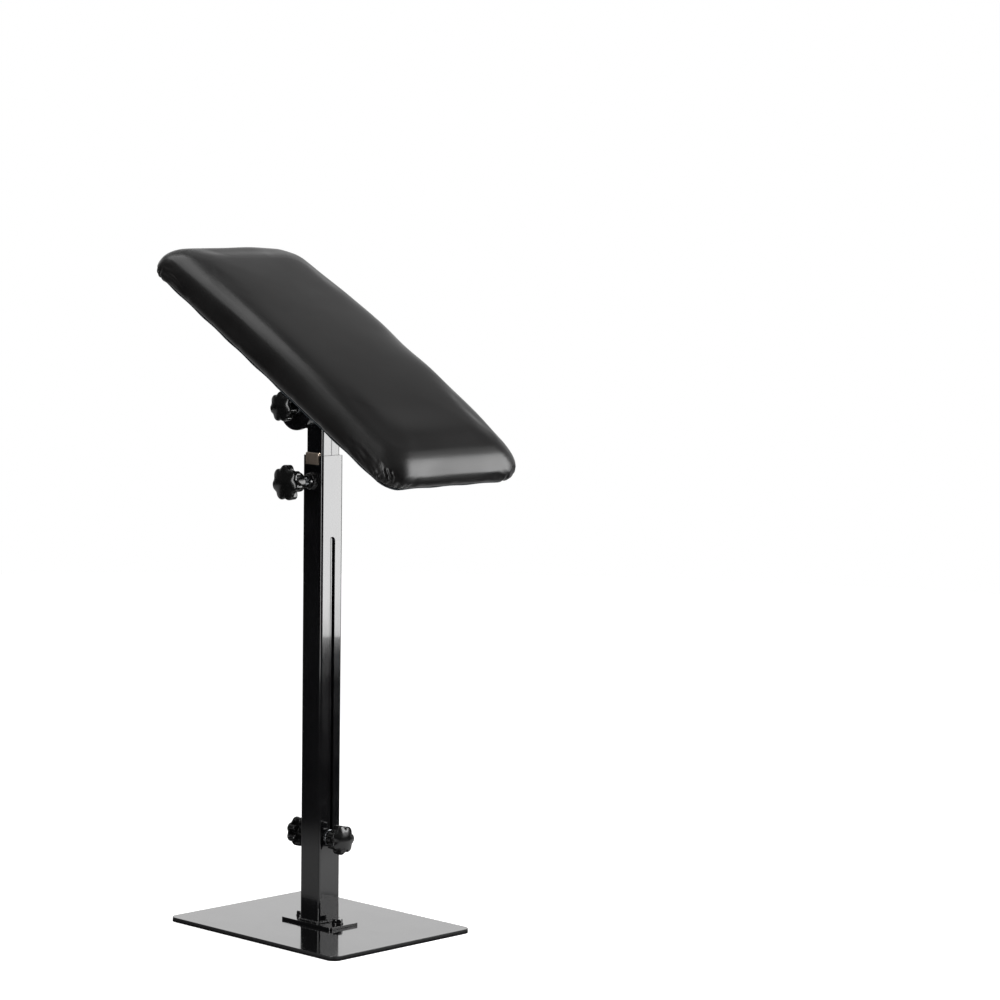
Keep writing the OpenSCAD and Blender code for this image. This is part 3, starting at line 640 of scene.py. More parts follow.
# %% Steel pieces with broken edges
BROKEN_EDGES = {
    # node: (edge radius in mm, finish)
    "base_plate": (0.9, ENAMEL),
    "column_flange": (0.5, ENAMEL),
    "outer_tube": (0.35, ENAMEL),
    "inner_tube": (0.35, ENAMEL),
    "mast_top_plug": (0.3, PLUG_NYLON),
    "clamp_nut": (0.5, PAINTED_WELD),
    "fixed_disc": (0.3, ENAMEL),
    "moving_disc": (0.3, ENAMEL),
    "flange_bolts": (0.35, ENAMEL),
    "flange_washers": (0.25, ENAMEL),
    "tilt_bolt": (0.4, ZINC),
    "lower_stud": (0.4, ZINC),
    "front_washer": (0.25, ZINC),
    "rear_washer": (0.25, ZINC),
    "tilt_washer": (0.25, ZINC),
    "pressure_strip": (0.12, ROLLED_STEEL),
}

NUT_TURN_DEG = 30
NUT_ROUND_MM = 2.2
NUT_ROUND_STEPS = 4
NUT_LONG_EDGE_MM = 4
nut_low, nut_high = box_in("clamp_nut", Matrix())
nut_centre = Matrix.Translation((nut_low + nut_high) / 2)
nut_turn = nut_centre @ Matrix.Rotation(math.radians(NUT_TURN_DEG), 4, "X") @ nut_centre.inverted()


def runs_along_nut(edge):
    """Whether an edge of the clamp nut is one of its long ones."""
    return abs((edge.verts[0].co - edge.verts[1].co).x) > NUT_LONG_EDGE_MM * MM


for node, (radius, material) in BROKEN_EDGES.items():
    bm = welded_copy(node)
    if node == "clamp_nut":
        bm.transform(nut_turn)
        round_edges(bm, NUT_ROUND_MM, NUT_ROUND_STEPS, runs_along_nut)
    round_edges(bm, radius)
    stand_in(as_piece(bm, node + "_finished", material), node)
print(len(BROKEN_EDGES), "pieces with round edges")

# %% [markdown]
# The bracket is one sheet of steel, cut and folded on a press brake: a plate for the pad and a round ear for
# the joint. Its bend is already round, so only the cut edges are broken.

# %% Bracket
BRACKET_EDGE_MM = 0.45
bm = welded_copy("pad_bracket")
round_edges(bm, BRACKET_EDGE_MM)
bracket = stand_in(as_piece(bm, "bent_bracket", ENAMEL), "pad_bracket")
print("bracket with", len(bracket.data.polygons), "faces")

# %% [markdown]
# ## Shapes that follow a rule
#
# Some pieces repeat one shape, or follow a rule: lobes round a knob, the turns of a thread, the ripples of a
# weld, four equal screws, a row of staples. Geometry Nodes make those. Each tree takes its sizes as named
# inputs, so one tree serves several pieces.


# %% Helpers for Geometry Nodes
def new_tree(name, inputs):
    """A Geometry Nodes tree with named inputs, and the sockets that carry them."""
    tree = bpy.data.node_groups.new(name, "GeometryNodeTree")
    tree.interface.new_socket("Geometry", in_out="OUTPUT", socket_type="NodeSocketGeometry")
    for label, kind in inputs.items():
        tree.interface.new_socket(label, in_out="INPUT", socket_type="NodeSocket" + kind)
    return tree, tree.nodes.new("NodeGroupInput").outputs


def end_tree(tree, shape, material):
    """Ends a tree: its instances are made real and get their material."""
    real = add(tree, "GeometryNodeRealizeInstances", {0: shape}).outputs[0]
    done = add(tree, "GeometryNodeSetMaterial", {"Geometry": real, "Material": material}).outputs[0]
    add(tree, "NodeGroupOutput", {0: done})
    return tree


def guide(points, closed=False, **numbers):
    """A line of points that a tree reads, with a list of numbers for each name given."""
    mesh = bpy.data.meshes.new("guide")
    count = len(points)
    mesh.from_pydata(points, [(i, (i + 1) % count) for i in range(count if closed else count - 1)], [])
    for name, values in numbers.items():
        mesh.attributes.new(name, "FLOAT", "POINT").data.foreach_set("value", values)
    line = bpy.data.objects.new("guide", mesh)
    bpy.context.scene.collection.objects.link(line)
    return line


def grow(tree, **inputs):
    """Runs a tree and returns what it makes as a bmesh, with its faces pointing out."""
    holder = bpy.data.objects.new("holder", bpy.data.meshes.new("holder"))
    bpy.context.scene.collection.objects.link(holder)
    modifier = holder.modifiers.new("grow", "NODES")
    modifier.node_group = tree
    for item in tree.interface.items_tree:
        if item.item_type == "SOCKET" and item.in_out == "INPUT":
            modifier[item.identifier] = inputs[item.name]
    bake(holder)
    bm = bmesh.new()
    bm.from_mesh(holder.data)
    bmesh.ops.recalc_face_normals(bm, faces=bm.faces)
    used = [value for value in inputs.values() if isinstance(value, bpy.types.Object)]
    for thing in [holder, *used]:
        mesh = thing.data
        bpy.data.objects.remove(thing)
        bpy.data.meshes.remove(mesh)
    return bm


def axis_frame(joint):
    """A matrix whose Z axis runs out along a joint's axis, from the joint's place."""
    axis = Vector(JOINTS[joint]["axis"])
    turn = Vector((0, 0, 1)).rotation_difference(axis).to_matrix().to_4x4()
    return Matrix.Translation(JOINTS[joint]["pos_m"]) @ turn


def turned_size(node, matrix):
    """Radius, start and end in mm of a round CAD node, seen along a matrix's Z axis."""
    back = matrix.inverted()
    points = [back @ v.co for v in NODES[node].data.vertices]
    return (max(p.xy.length for p in points) / MM, min(p.z for p in points) / MM,
            max(p.z for p in points) / MM)


# %% [markdown]
# **A lathe with lobes.** The tree takes a profile as a line of points. The first number of a point is its
# radius, the third its height, and the second says how strongly the lobes shape that ring: 0 is a plain
# circle, 1 the full star. It bends a grid round the axis, one column for each step round and one row for
# each point of the profile.

# %% Lathe tree
SEAM_GAP = 1e-6
LOBE_POWER = 1.5
ROUND_STEPS = 4


def flat_grid(tree, given):
    """A grid to wrap round Z, and the number of each point's column and row."""
    columns = formula(tree, "ADD", given["Around"], 1)
    grid = add(tree, "GeometryNodeMeshGrid", {"Vertices X": columns, "Vertices Y": given["Rows"]}).outputs[0]
    index = add(tree, "GeometryNodeInputIndex").outputs[0]
    column = formula(tree, "FLOOR", ("DIVIDE", ("ADD", index, 0.5), given["Rows"]))
    row = formula(tree, "SUBTRACT", index, ("MULTIPLY", column, given["Rows"]))
    return grid, column, row


def wrap(tree, grid, radius, turn, height):
    """Moves the grid's points to their radius, turn and height, and closes the seam and the ends."""
    place = add(tree, "ShaderNodeCombineXYZ", {
        "X": formula(tree, "MULTIPLY", radius, ("COSINE", turn)),
        "Y": formula(tree, "MULTIPLY", radius, ("SINE", turn)),
        "Z": height}).outputs[0]
    bent = add(tree, "GeometryNodeSetPosition", {"Geometry": grid, "Position": place}).outputs[0]
    return add(tree, "GeometryNodeMergeByDistance", {"Geometry": bent, "Distance": SEAM_GAP}).outputs[0]


def make_lathe():
    """Turns a profile round Z, with lobes that narrow between their tips to a share of the radius."""
    tree, given = new_tree("lathe", {"Profile": "Object", "Rows": "Int", "Around": "Int", "Lobes": "Float",
                                     "Valley": "Float", "Finish": "Material"})
    profile = add(tree, "GeometryNodeObjectInfo", {"Object": given["Profile"]}).outputs["Geometry"]
    grid, column, row = flat_grid(tree, given)
    here = add(tree, "GeometryNodeInputPosition").outputs[0]
    read = add(tree, "GeometryNodeSampleIndex", {"Geometry": profile, "Value": here, "Index": row},
               data_type="FLOAT_VECTOR", domain="POINT")
    point = add(tree, "ShaderNodeSeparateXYZ", {0: socket(read.outputs, "Value")}).outputs
    turn = formula(tree, "MULTIPLY", ("DIVIDE", column, given["Around"]), math.tau)
    wave = ("MULTIPLY", ("SUBTRACT", 1.0, ("COSINE", ("MULTIPLY", turn, given["Lobes"]))), 0.5)
    depth = ("MULTIPLY", ("POWER", wave, LOBE_POWER), ("SUBTRACT", 1.0, given["Valley"]))
    radius = formula(tree, "MULTIPLY", point["X"], ("SUBTRACT", 1.0, ("MULTIPLY", depth, point["Y"])))
    return end_tree(tree, wrap(tree, grid, radius, turn, point["Z"]), given["Finish"])


LATHE = make_lathe()


def soften(corners):
    """Points of a profile whose corners are rounded. A corner is (radius, lobes, height, rounding) in mm."""
    points = []
    for i, (*corner, rounding) in enumerate(corners):
        corner = Vector(corner)
        if not rounding:
            points.append(corner)
            continue
        start = corner + (Vector(corners[i - 1][:3]) - corner).normalized() * rounding
        end = corner + (Vector(corners[i + 1][:3]) - corner).normalized() * rounding
        for step in range(ROUND_STEPS + 1):
            way = step / ROUND_STEPS
            points.append(start * (1 - way) ** 2 + corner * 2 * way * (1 - way) + end * way * way)
    return [(p.x * MM, p.y, p.z * MM) for p in points]


def turn_profile(corners, material, around, lobes=0, valley=1.0):
    """The bmesh of a profile turned on the lathe."""
    points = soften(corners)
    return grow(LATHE, Profile=guide(points), Rows=len(points), Around=around, Lobes=float(lobes),
                Valley=valley, Finish=material)


print("the lathe has", len(LATHE.nodes), "nodes")

# %% [markdown]
# **Star knobs.** All four knobs have seven lobes. The domed cap is nearly round, and behind it the lobes are
# fingers with deep grooves between them. The largest one clamps the column, one holds the tilt, and two sit
# on the ends of the lower stud. Each knob turns on a joint, so its place comes from the joint.

# %% Star knobs
LOBES = 7
KNOB_STEPS = 140
GROOVE_SHARE = 0.60
CAP_LOBES_SHARE = 0.32
RIM_HIGH_SHARE = 0.84
CAP_SHARE = 0.17
KNOBS = {
    # joint: (node, hub's radius and height, bore's radius and depth), in mm
    "clamp_knob_turn": ("clamp_knob", 10.5, 12.0, 4.05, 18.0),
    "front_knob_turn": ("front_knob", 9.0, 9.0, 5.75, 12.0),
    "rear_knob_turn": ("rear_knob", 9.0, 9.0, 5.75, 12.0),
    "tilt_knob_turn": ("tilt_knob", 9.0, 9.0, 5.75, 12.0),
}
# Rows of the dome: share of the radius, of the lobes and of the height over the rim.
DOME = [(0.88, 0.25, 0.24), (0.78, 0.15, 0.41), (0.66, 0.08, 0.58), (0.52, 0.03, 0.74), (0.36, 0.0, 0.88),
        (0.18, 0.0, 0.97)]


def knob_profile(radius, high, hub, hub_high, bore, bore_deep):
    """From the bottom of the bore, over hub, lobes and rim, to the middle of the dome."""
    rim = high * RIM_HIGH_SHARE
    cap = rim - CAP_SHARE * radius
    return [
        (0, 0, bore_deep, 0),
        (bore, 0, bore_deep, 0.2),
        (bore, 0, 0, 0.3),
        (0.86 * hub, 0, 0, 0.5),
        (hub, 0, 1.8, 0.6),
        (hub, 0, hub_high, 0.4),
        (hub + 1.0, 0.05, hub_high + 0.1, 0),
        (radius - 1.2, 1, hub_high + 0.3, 0.6),
        (radius - 0.3, 1, hub_high + 1.6, 0.4),
        (radius, 1, cap - 0.5, 0),
        (radius, 0.6, cap - 0.1, 0),
        (radius, CAP_LOBES_SHARE, cap + 0.3, 0),
        (radius, CAP_LOBES_SHARE, rim, 1.4),
        *((share * radius, lobes, rim + rise * (high - rim), 0) for share, lobes, rise in DOME),
        (0, 0, high, 0),
    ]


for joint, (node, *rest) in KNOBS.items():
    matrix = axis_frame(joint)
    radius, start, end = turned_size(node, matrix)
    profile = knob_profile(radius, end - start, *rest)
    bm = turn_profile(profile, KNOB_NYLON, KNOB_STEPS, LOBES, GROOVE_SHARE)
    bm.transform(matrix @ Matrix.Translation((0, 0, start * MM)))
    stand_in(as_piece(bm, "star_" + node, KNOB_NYLON), node)
print(len(KNOBS), "star knobs")

# %% [markdown]
# **A real thread.** The clamp screw is the only thread in view. An M8 thread climbs 1.25 mm a turn. The tree
# lifts each point of a tube by its height in the helix: out at the crest, in at the root.

# %% Thread tree and clamp screw
THREAD_PITCH_MM = 1.25
THREAD_DEPTH_MM = 0.6
THREAD_STEPS = 36
ROWS_A_TURN = 6
END_ROWS = 3


def make_thread():
    """A threaded rod that stands on the XY plane, with both ends chamfered and closed."""
    tree, given = new_tree("thread", {"Radius": "Float", "Length": "Float", "Pitch": "Float",
                                      "Depth": "Float", "Rows": "Int", "Around": "Int", "Finish": "Material"})
    grid, column, row = flat_grid(tree, given)
    share = ("DIVIDE", ("SUBTRACT", row, 1), ("SUBTRACT", given["Rows"], END_ROWS))
    height = formula(tree, "MULTIPLY", ("MINIMUM", ("MAXIMUM", share, 0.0), 1.0), given["Length"])
    turns = formula(tree, "DIVIDE", column, given["Around"])
    climb = ("FRACT", ("SUBTRACT", ("DIVIDE", height, given["Pitch"]), turns))
    root = ("ABSOLUTE", ("SUBTRACT", ("MULTIPLY", climb, 2.0), 1.0))
    flank = ("SUBTRACT", given["Radius"], ("MULTIPLY", root, given["Depth"]))
    to_end = ("MINIMUM", height, ("SUBTRACT", given["Length"], height))
    core = ("SUBTRACT", given["Radius"], ("MULTIPLY", given["Depth"], 2.0))
    last = ("SUBTRACT", given["Rows"], 1)
    open_rows = ("MULTIPLY", ("GREATER_THAN", row, 0.5), ("LESS_THAN", row, last))
    radius = formula(tree, "MULTIPLY", ("MINIMUM", flank, ("ADD", core, to_end)), open_rows)
    turn = formula(tree, "MULTIPLY", turns, math.tau)
    return end_tree(tree, wrap(tree, grid, radius, turn, height), given["Finish"])


THREAD = make_thread()
matrix = axis_frame("clamp_knob_turn")
radius, start, end = turned_size("clamp_stud", matrix)
thread_turns = (end - start) / THREAD_PITCH_MM
bm = grow(THREAD, Radius=radius * MM, Length=(end - start) * MM, Pitch=THREAD_PITCH_MM * MM,
          Depth=THREAD_DEPTH_MM * MM, Rows=round(thread_turns * ROWS_A_TURN) + END_ROWS,
          Around=THREAD_STEPS, Finish=ZINC)
bm.transform(matrix @ Matrix.Translation((0, 0, start * MM)))
stand_in(as_piece(bm, "threaded_clamp_screw", ZINC), "clamp_stud")
print("a thread of", round(thread_turns), "turns")

# %% [markdown]
# **Weld beads.** A hand weld is a row of puddles, each frozen over the edge of the one before. The tree
# walks a path, sets a flattened scale at every step with its own small tilt and size, and runs a core
# through them.

# %% Weld tree and beads
LEAST_SCALE = (0.86, 0.86, 1.3)
MOST_SCALE = (1.16, 1.16, 2.0)
LEAST_TILT = (-0.35, -0.35, 0.0)
MOST_TILT = (0.35, 0.35, 6.28)
CORE_SHARE = 0.8


def make_bead():
    """Overlapping scales along a path, with a round core."""
    tree, given = new_tree("bead", {"Path": "Object", "Bead": "Float", "Ripple": "Float", "Seed": "Int",
                                    "Finish": "Material"})
    path = add(tree, "GeometryNodeObjectInfo", {"Object": given["Path"]}).outputs["Geometry"]
    curve = add(tree, "GeometryNodeMeshToCurve", {0: path}).outputs[0]
    steps = add(tree, "GeometryNodeResampleCurve", {"Curve": curve, "Length": given["Ripple"]}, mode="LENGTH")
    along = add(tree, "GeometryNodeInputTangent").outputs[0]
    facing = add(tree, "FunctionNodeAlignRotationToVector", {"Vector": along}, axis="Z").outputs[0]
    size = add(tree, "FunctionNodeRandomValue", {
        0: LEAST_SCALE, 1: MOST_SCALE, "Seed": given["Seed"]}, data_type="FLOAT_VECTOR")
    tilt = add(tree, "FunctionNodeRandomValue", {
        0: LEAST_TILT, 1: MOST_TILT, "Seed": formula(tree, "ADD", given["Seed"], 1)},
        data_type="FLOAT_VECTOR")
    shape = add(tree, "ShaderNodeCombineXYZ", {"X": given["Bead"], "Y": given["Bead"], "Z": given["Ripple"]})
    scale = add(tree, "ShaderNodeVectorMath", {0: shape.outputs[0], 1: socket(size.outputs, "Value")},
                operation="MULTIPLY").outputs[0]
    own = add(tree, "FunctionNodeEulerToRotation", {0: socket(tilt.outputs, "Value")}).outputs[0]
    turn = add(tree, "FunctionNodeRotateRotation", {
        "Rotation": facing, "Rotate By": own}, rotation_space="LOCAL").outputs[0]
    ball = add(tree, "GeometryNodeMeshIcoSphere", {"Radius": 1.0, "Subdivisions": 2}).outputs[0]
    scales = add(tree, "GeometryNodeInstanceOnPoints", {
        "Points": steps.outputs[0], "Instance": ball, "Rotation": turn, "Scale": scale}).outputs[0]
    ring = add(tree, "GeometryNodeCurvePrimitiveCircle", {
        "Resolution": 8, "Radius": formula(tree, "MULTIPLY", given["Bead"], CORE_SHARE)}).outputs[0]
    core = add(tree, "GeometryNodeCurveToMesh", {
        "Curve": steps.outputs[0], "Profile Curve": ring, "Fill Caps": True}).outputs[0]
    both = add(tree, "GeometryNodeJoinGeometry")
    tree.links.new(core, both.inputs[0])
    tree.links.new(scales, both.inputs[0])
    return end_tree(tree, both.outputs[0], given["Finish"])


BEAD = make_bead()
CIRCLE_STEPS = 48
CORNER_STEPS = 6
UPRIGHT_STEPS = 16
SEED_STEP = 7


def circle_path(radius_mm, height_mm):
    """Points of a ring about Z."""
    turns = (math.tau * i / CIRCLE_STEPS for i in range(CIRCLE_STEPS))
    return [(radius_mm * MM * math.cos(turn), radius_mm * MM * math.sin(turn), height_mm * MM)
            for turn in turns]


def square_path(half_mm, corner_mm, height_mm):
    """Points of a square with round corners about Z."""
    points = []
    flat = half_mm - corner_mm
    for quarter in range(4):
        to_quarter = Matrix.Rotation(math.pi / 2 * quarter, 3, "Z")
        for i in range(CORNER_STEPS + 1):
            turn = math.pi / 2 * i / CORNER_STEPS
            corner = Vector((flat + corner_mm * math.cos(turn), flat + corner_mm * math.sin(turn), height_mm))
            points.append(tuple(to_quarter @ corner * MM))
    return points


def weld(name, node, paths, matrix, bead_mm, ripple_mm, seed, closed=True):
    """One bead along each path. Together they replace the CAD node."""
    bm = bmesh.new()
    for number, path in enumerate(paths):
        part = grow(BEAD, Path=guide(path, closed), Bead=bead_mm * MM, Ripple=ripple_mm * MM,
                    Seed=seed + SEED_STEP * number, Finish=PAINTED_WELD)
        mesh = bpy.data.meshes.new("part")
        part.to_mesh(mesh)
        part.free()
        bm.from_mesh(mesh)
        bpy.data.meshes.remove(mesh)
    bm.transform(matrix)
    return stand_in(as_piece(bm, name, PAINTED_WELD), node)


# The beads' widths and the paths' small offsets are chosen to fill the CAD's weld rings, in mm.
FOOT_WELD_MM = 3.0
foot_low, foot_high = box_in("foot_weld", Matrix())
column_half = (foot_high.x - foot_low.x) / 2 / MM - FOOT_WELD_MM
weld("weld_at_foot", "foot_weld", [square_path(column_half + 0.7, 3.2, 0.6)],
     Matrix.Translation((0, 0, foot_low.z)), bead_mm=1.5, ripple_mm=1.5, seed=11)

TO_MINUS_X = Matrix.Rotation(-math.pi / 2, 4, "Y")
NUT_WELD_RINGS = ((1.7, 0.7), (2.1, 2.4), (2.5, 3.9))
nut_axis = Matrix.Translation((0, 0, JOINTS["clamp_knob_turn"]["pos_m"][2])) @ TO_MINUS_X
nut_radius, nut_start, _ = turned_size("clamp_nut_weld", nut_axis)
nut_paths = [circle_path(nut_radius - inset, nut_start + rise) for inset, rise in NUT_WELD_RINGS]
weld("weld_at_clamp_nut", "clamp_nut_weld", nut_paths, nut_axis, bead_mm=1.4, ripple_mm=1.5, seed=23)

disc_axis = HEAD @ TO_MINUS_X
disc_radius, _, disc_end = turned_size("moving_disc_weld", disc_axis)
weld("weld_at_moving_disc", "moving_disc_weld", [circle_path(disc_radius - 0.9, disc_end - 1.0)], disc_axis,
     bead_mm=1.1, ripple_mm=1.3, seed=37)

mast_low, mast_high = box_in("fixed_disc_weld", Matrix())
upright_x = mast_low.x + 0.9 * MM
upright_y = mast_high.y - 1.0 * MM
heights = [mast_low.z + i / UPRIGHT_STEPS * (mast_high.z - mast_low.z) for i in range(UPRIGHT_STEPS + 1)]
uprights = [[(upright_x, side * upright_y, height) for height in heights] for side in (-1, 1)]
weld("welds_at_fixed_disc", "fixed_disc_weld", uprights, Matrix(), bead_mm=0.9, ripple_mm=1.2, seed=51,
     closed=False)
print("four beads")

# %% [markdown]
# **Four screws, one tree.** A pan head is turned on the lathe, its cross is cut by a Boolean, and the result
# is set on a grid of two by two points. Nobody lines screws up, so each one is turned at random.

# %% Screw tree and bracket screws
def make_screws():
    """A screw with a cut cross on each corner of a rectangle, each turned by its own angle."""
    tree, given = new_tree("screws", {"Screw": "Object", "Across": "Float", "Along": "Float", "Cut": "Float",
                                      "Cross": "Float", "Head": "Float", "Seed": "Int", "Finish": "Material"})
    screw = add(tree, "GeometryNodeObjectInfo", {"Object": given["Screw"]}).outputs["Geometry"]
    cut = add(tree, "GeometryNodeMeshBoolean", {0: screw}, operation="DIFFERENCE", solver="EXACT")
    for first, second in (("Cross", "Cut"), ("Cut", "Cross")):
        size = add(tree, "ShaderNodeCombineXYZ", {"X": given[first], "Y": given[second], "Z": given["Head"]})
        bar = add(tree, "GeometryNodeMeshCube", {"Size": size.outputs[0]}).outputs[0]
        up = add(tree, "ShaderNodeCombineXYZ", {"Z": given["Head"]}).outputs[0]
        bar = add(tree, "GeometryNodeTransform", {"Geometry": bar, "Translation": up}).outputs[0]
        tree.links.new(bar, cut.inputs[1])
    points = add(tree, "GeometryNodeMeshGrid", {
        "Size X": given["Across"], "Size Y": given["Along"], "Vertices X": 2, "Vertices Y": 2}).outputs[0]
    spin = add(tree, "FunctionNodeRandomValue", {
        0: (0.0, 0.0, 0.0), 1: (0.0, 0.0, math.tau), "Seed": given["Seed"]}, data_type="FLOAT_VECTOR")
    turn = add(tree, "FunctionNodeEulerToRotation", {0: socket(spin.outputs, "Value")}).outputs[0]
    placed = add(tree, "GeometryNodeInstanceOnPoints", {
        "Points": points, "Instance": cut.outputs[0], "Rotation": turn}).outputs[0]
    return end_tree(tree, placed, given["Finish"])


SCREWS = make_screws()
HEAD_R_MM = 4.75
SHANK_R_MM = 2.5
HEAD_H_MM = 3.4
CROSS_WIDE_MM = 1.0
CROSS_LONG_MM = 5.4
screw_low, screw_high = (v / MM for v in box_in("bracket_screws", PAD))
screw_spread = (screw_high - screw_low - Vector((2, 2, 0)) * HEAD_R_MM) * MM
shank_mm = screw_high.z - screw_low.z - HEAD_H_MM
pan_head = [
    (0, 0, -shank_mm, 0),
    (SHANK_R_MM - 0.6, 0, -shank_mm, 0),
    (SHANK_R_MM, 0, -shank_mm + 0.8, 0),
    (SHANK_R_MM, 0, 0, 0),
    (HEAD_R_MM, 0, 0, 0.25),
    (HEAD_R_MM, 0, 1.1, 0.5),
    (0.84 * HEAD_R_MM, 0, 2.35, 0.8),
    (0.5 * HEAD_R_MM, 0, 3.15, 0.6),
    (0.1 * HEAD_R_MM, 0, HEAD_H_MM, 0),
    (0, 0, HEAD_H_MM, 0),
]
screw = loose_piece(turn_profile(pan_head, ZINC, around=40), "guide")
bm = grow(SCREWS, Screw=screw, Across=screw_spread.x, Along=screw_spread.y, Cut=CROSS_WIDE_MM * MM,
          Cross=CROSS_LONG_MM * MM, Head=HEAD_H_MM * MM, Seed=5, Finish=ZINC)
bm.transform(PAD @ Matrix.Translation((0, 0, (screw_low.z + HEAD_H_MM) * MM))
             @ Matrix.Rotation(math.pi, 4, "X"))
stand_in(as_piece(bm, "cross_head_screws", ZINC), "bracket_screws")
print("four screws, heads of", 2 * HEAD_R_MM, "mm")

# %% [markdown]
# **Staples.** Their places are read from the frame. Each is a round wire bent twice, set by a gun held in the
# hand, so it leans and turns a little.

# %% Staple tree and staples
LEAST_LEAN = (-0.05, -0.05, -0.12)
MOST_LEAN = (0.05, 0.05, 0.12)


def make_staples():
    """A bent wire on every point, turned by the point's own angle and tilted a little at random."""
    tree, given = new_tree("staples", {"Places": "Object", "Wire": "Object", "Thick": "Float",
                                       "Bend": "Float", "Seed": "Int", "Finish": "Material"})
    points = add(tree, "GeometryNodeObjectInfo", {"Object": given["Places"]}).outputs["Geometry"]
    wire = add(tree, "GeometryNodeObjectInfo", {"Object": given["Wire"]}).outputs["Geometry"]
    curve = add(tree, "GeometryNodeMeshToCurve", {0: wire}).outputs[0]
    curve = add(tree, "GeometryNodeFilletCurve", {
        "Curve": curve, "Radius": given["Bend"], "Count": 4, "Limit Radius": True}, mode="POLY").outputs[0]
    ring = add(tree, "GeometryNodeCurvePrimitiveCircle", {
        "Resolution": 10, "Radius": formula(tree, "MULTIPLY", given["Thick"], 0.5)}).outputs[0]
    staple = add(tree, "GeometryNodeCurveToMesh", {
        "Curve": curve, "Profile Curve": ring, "Fill Caps": True}).outputs[0]
    turn = add(tree, "GeometryNodeInputNamedAttribute", {"Name": "turn"}, data_type="FLOAT")
    lean_by = add(tree, "FunctionNodeRandomValue", {
        0: LEAST_LEAN, 1: MOST_LEAN, "Seed": given["Seed"]}, data_type="FLOAT_VECTOR")
    straight = add(tree, "ShaderNodeCombineXYZ", {"Z": socket(turn.outputs, "Attribute")}).outputs[0]
    angles = add(tree, "ShaderNodeVectorMath", {0: straight, 1: socket(lean_by.outputs, "Value")},
                 operation="ADD").outputs[0]
    facing = add(tree, "FunctionNodeEulerToRotation", {0: angles}).outputs[0]
    placed = add(tree, "GeometryNodeInstanceOnPoints", {
        "Points": points, "Instance": staple, "Rotation": facing}).outputs[0]
    return end_tree(tree, placed, given["Finish"])


def islands(node, matrix):
    """Middle and size of every loose part of a CAD node, seen in another frame."""
    bm = welded_copy(node)
    bm.transform(matrix.inverted())
    left = set(bm.verts)
    found = []
    while left:
        group = {left.pop()}
        edge = list(group)
        while edge:
            near = {e.other_vert(v) for v in edge for e in v.link_edges} & left
            left -= near
            group |= near
            edge = list(near)
        low = Vector(min(v.co[i] for v in group) for i in range(3))
        high = Vector(max(v.co[i] for v in group) for i in range(3))
        found.append(((low + high) / 2, high - low))
    bm.free()
    return sorted(found, key=lambda item: (round(item[0].x, 4), round(item[0].y, 4)))


STAPLES = make_staples()
LEG_UNDER_SHARE = 0.35
WIRE_BEND_MM = 1.0
staple_parts = islands("staples", PAD)
staple_places = [Vector((middle.x, middle.y, 0)) for middle, size in staple_parts]
staple_turns = [math.pi / 2 if size.y > size.x else 0.0 for middle, size in staple_parts]
crown = max(max(size.x, size.y) for middle, size in staple_parts)
wire_thick = min(min(size.x, size.y) for middle, size in staple_parts)
leg_end = max(size.z for middle, size in staple_parts) - wire_thick
half_crown = (crown - wire_thick) / 2
wire_low = -wire_thick * LEG_UNDER_SHARE
bent_wire = [(-half_crown, 0, leg_end), (-half_crown, 0, wire_low),
             (half_crown, 0, wire_low), (half_crown, 0, leg_end)]
bm = grow(STAPLES, Places=guide([tuple(p) for p in staple_places], turn=staple_turns),
          Wire=guide(bent_wire), Thick=wire_thick, Bend=WIRE_BEND_MM * MM, Seed=3, Finish=ZINC)
bm.transform(PAD)
stand_in(as_piece(bm, "bent_staples", ZINC), "staples")
print(len(staple_places), "staples")

# %% [markdown]
# ## The pad
#
# The pad is a plywood board with a foam block on it, under one piece of leather that is pulled over the edges
# and stapled below. Its top is arched the long way, more towards the lower end, and it rounds down to a
# soft edge all round. The lower end is domed: its middle stands higher and is rounder than its corners.
# Where the leather turns a corner it has too much cloth, so it gathers in small folds.
#
# The leather is made in three steps. A form a little smaller than the pad is built first. Then it is treated
# as cloth: air pressure inside swells it while its underside is held, which gives the soft round
# edges that no drawn curve has. Last come the folds and dents.

# %% Pad sizes
CORNER_MM = 26.0
CORNER_SHRINK = 0.4
LEAST_CORNER_MM = 3.0
ROUND_CORNER_STEPS = 10
LONG_SIDE_STEPS = 23
LOWER_MM = 8.0
LOWER_STEPS = 4
EDGE_MM = 20.0
EDGE_TURN = math.radians(82)
EDGE_STEPS = 9
CROWN_MM = 2.5
CROWN_STEPS = 8
CROWN_FLAT_MM = 6.0
ARCH_LOWER_MM = 11.0
ARCH_UPPER_MM = 6.0
LOWER_SOFT = 0.35
UPPER_SOFT = 0.25
LOWER_DOME_MM = 6.0
LOWER_DEEPER_MM = 4.0
LOWER_DOME_LONG = 95.0
FOOT_INSET_SHARE = 0.3
FOOT_RISE_SHARE = 0.6
FOOT_RISE_FROM_MM = 30.0
FOOT_RISE_RUN_MM = 24.0
FOOT_RISE_POWER = 4
SWELL_ROOM_MM = 1.2
COVER_MM = 1.2
VOXEL_MM = 4.0
HALF_W = pad_size.x / 2 / MM
HALF_L = pad_size.y / 2 / MM
PAD_TOP = pad_high.z / MM
PAD_FOOT = pad_low.z / MM


def share_of(value):
    """The value, kept between 0 and 1."""
    return min(max(value, 0.0), 1.0)


def arch(y):
    """How far the top lies below its highest point at a place along the pad, in mm."""
    return (ARCH_UPPER_MM if y > 0 else ARCH_LOWER_MM) * (y / HALF_L) ** 2


def dome(x, y):
    """A share that grows to 1 towards the middle of the lower end, which is domed and rounder."""
    near_end = share_of((LOWER_DOME_LONG - HALF_L - y) / LOWER_DOME_LONG)
    return near_end * near_end * (3 - 2 * near_end) * (1 - share_of(abs(x) / HALF_W) ** 2)


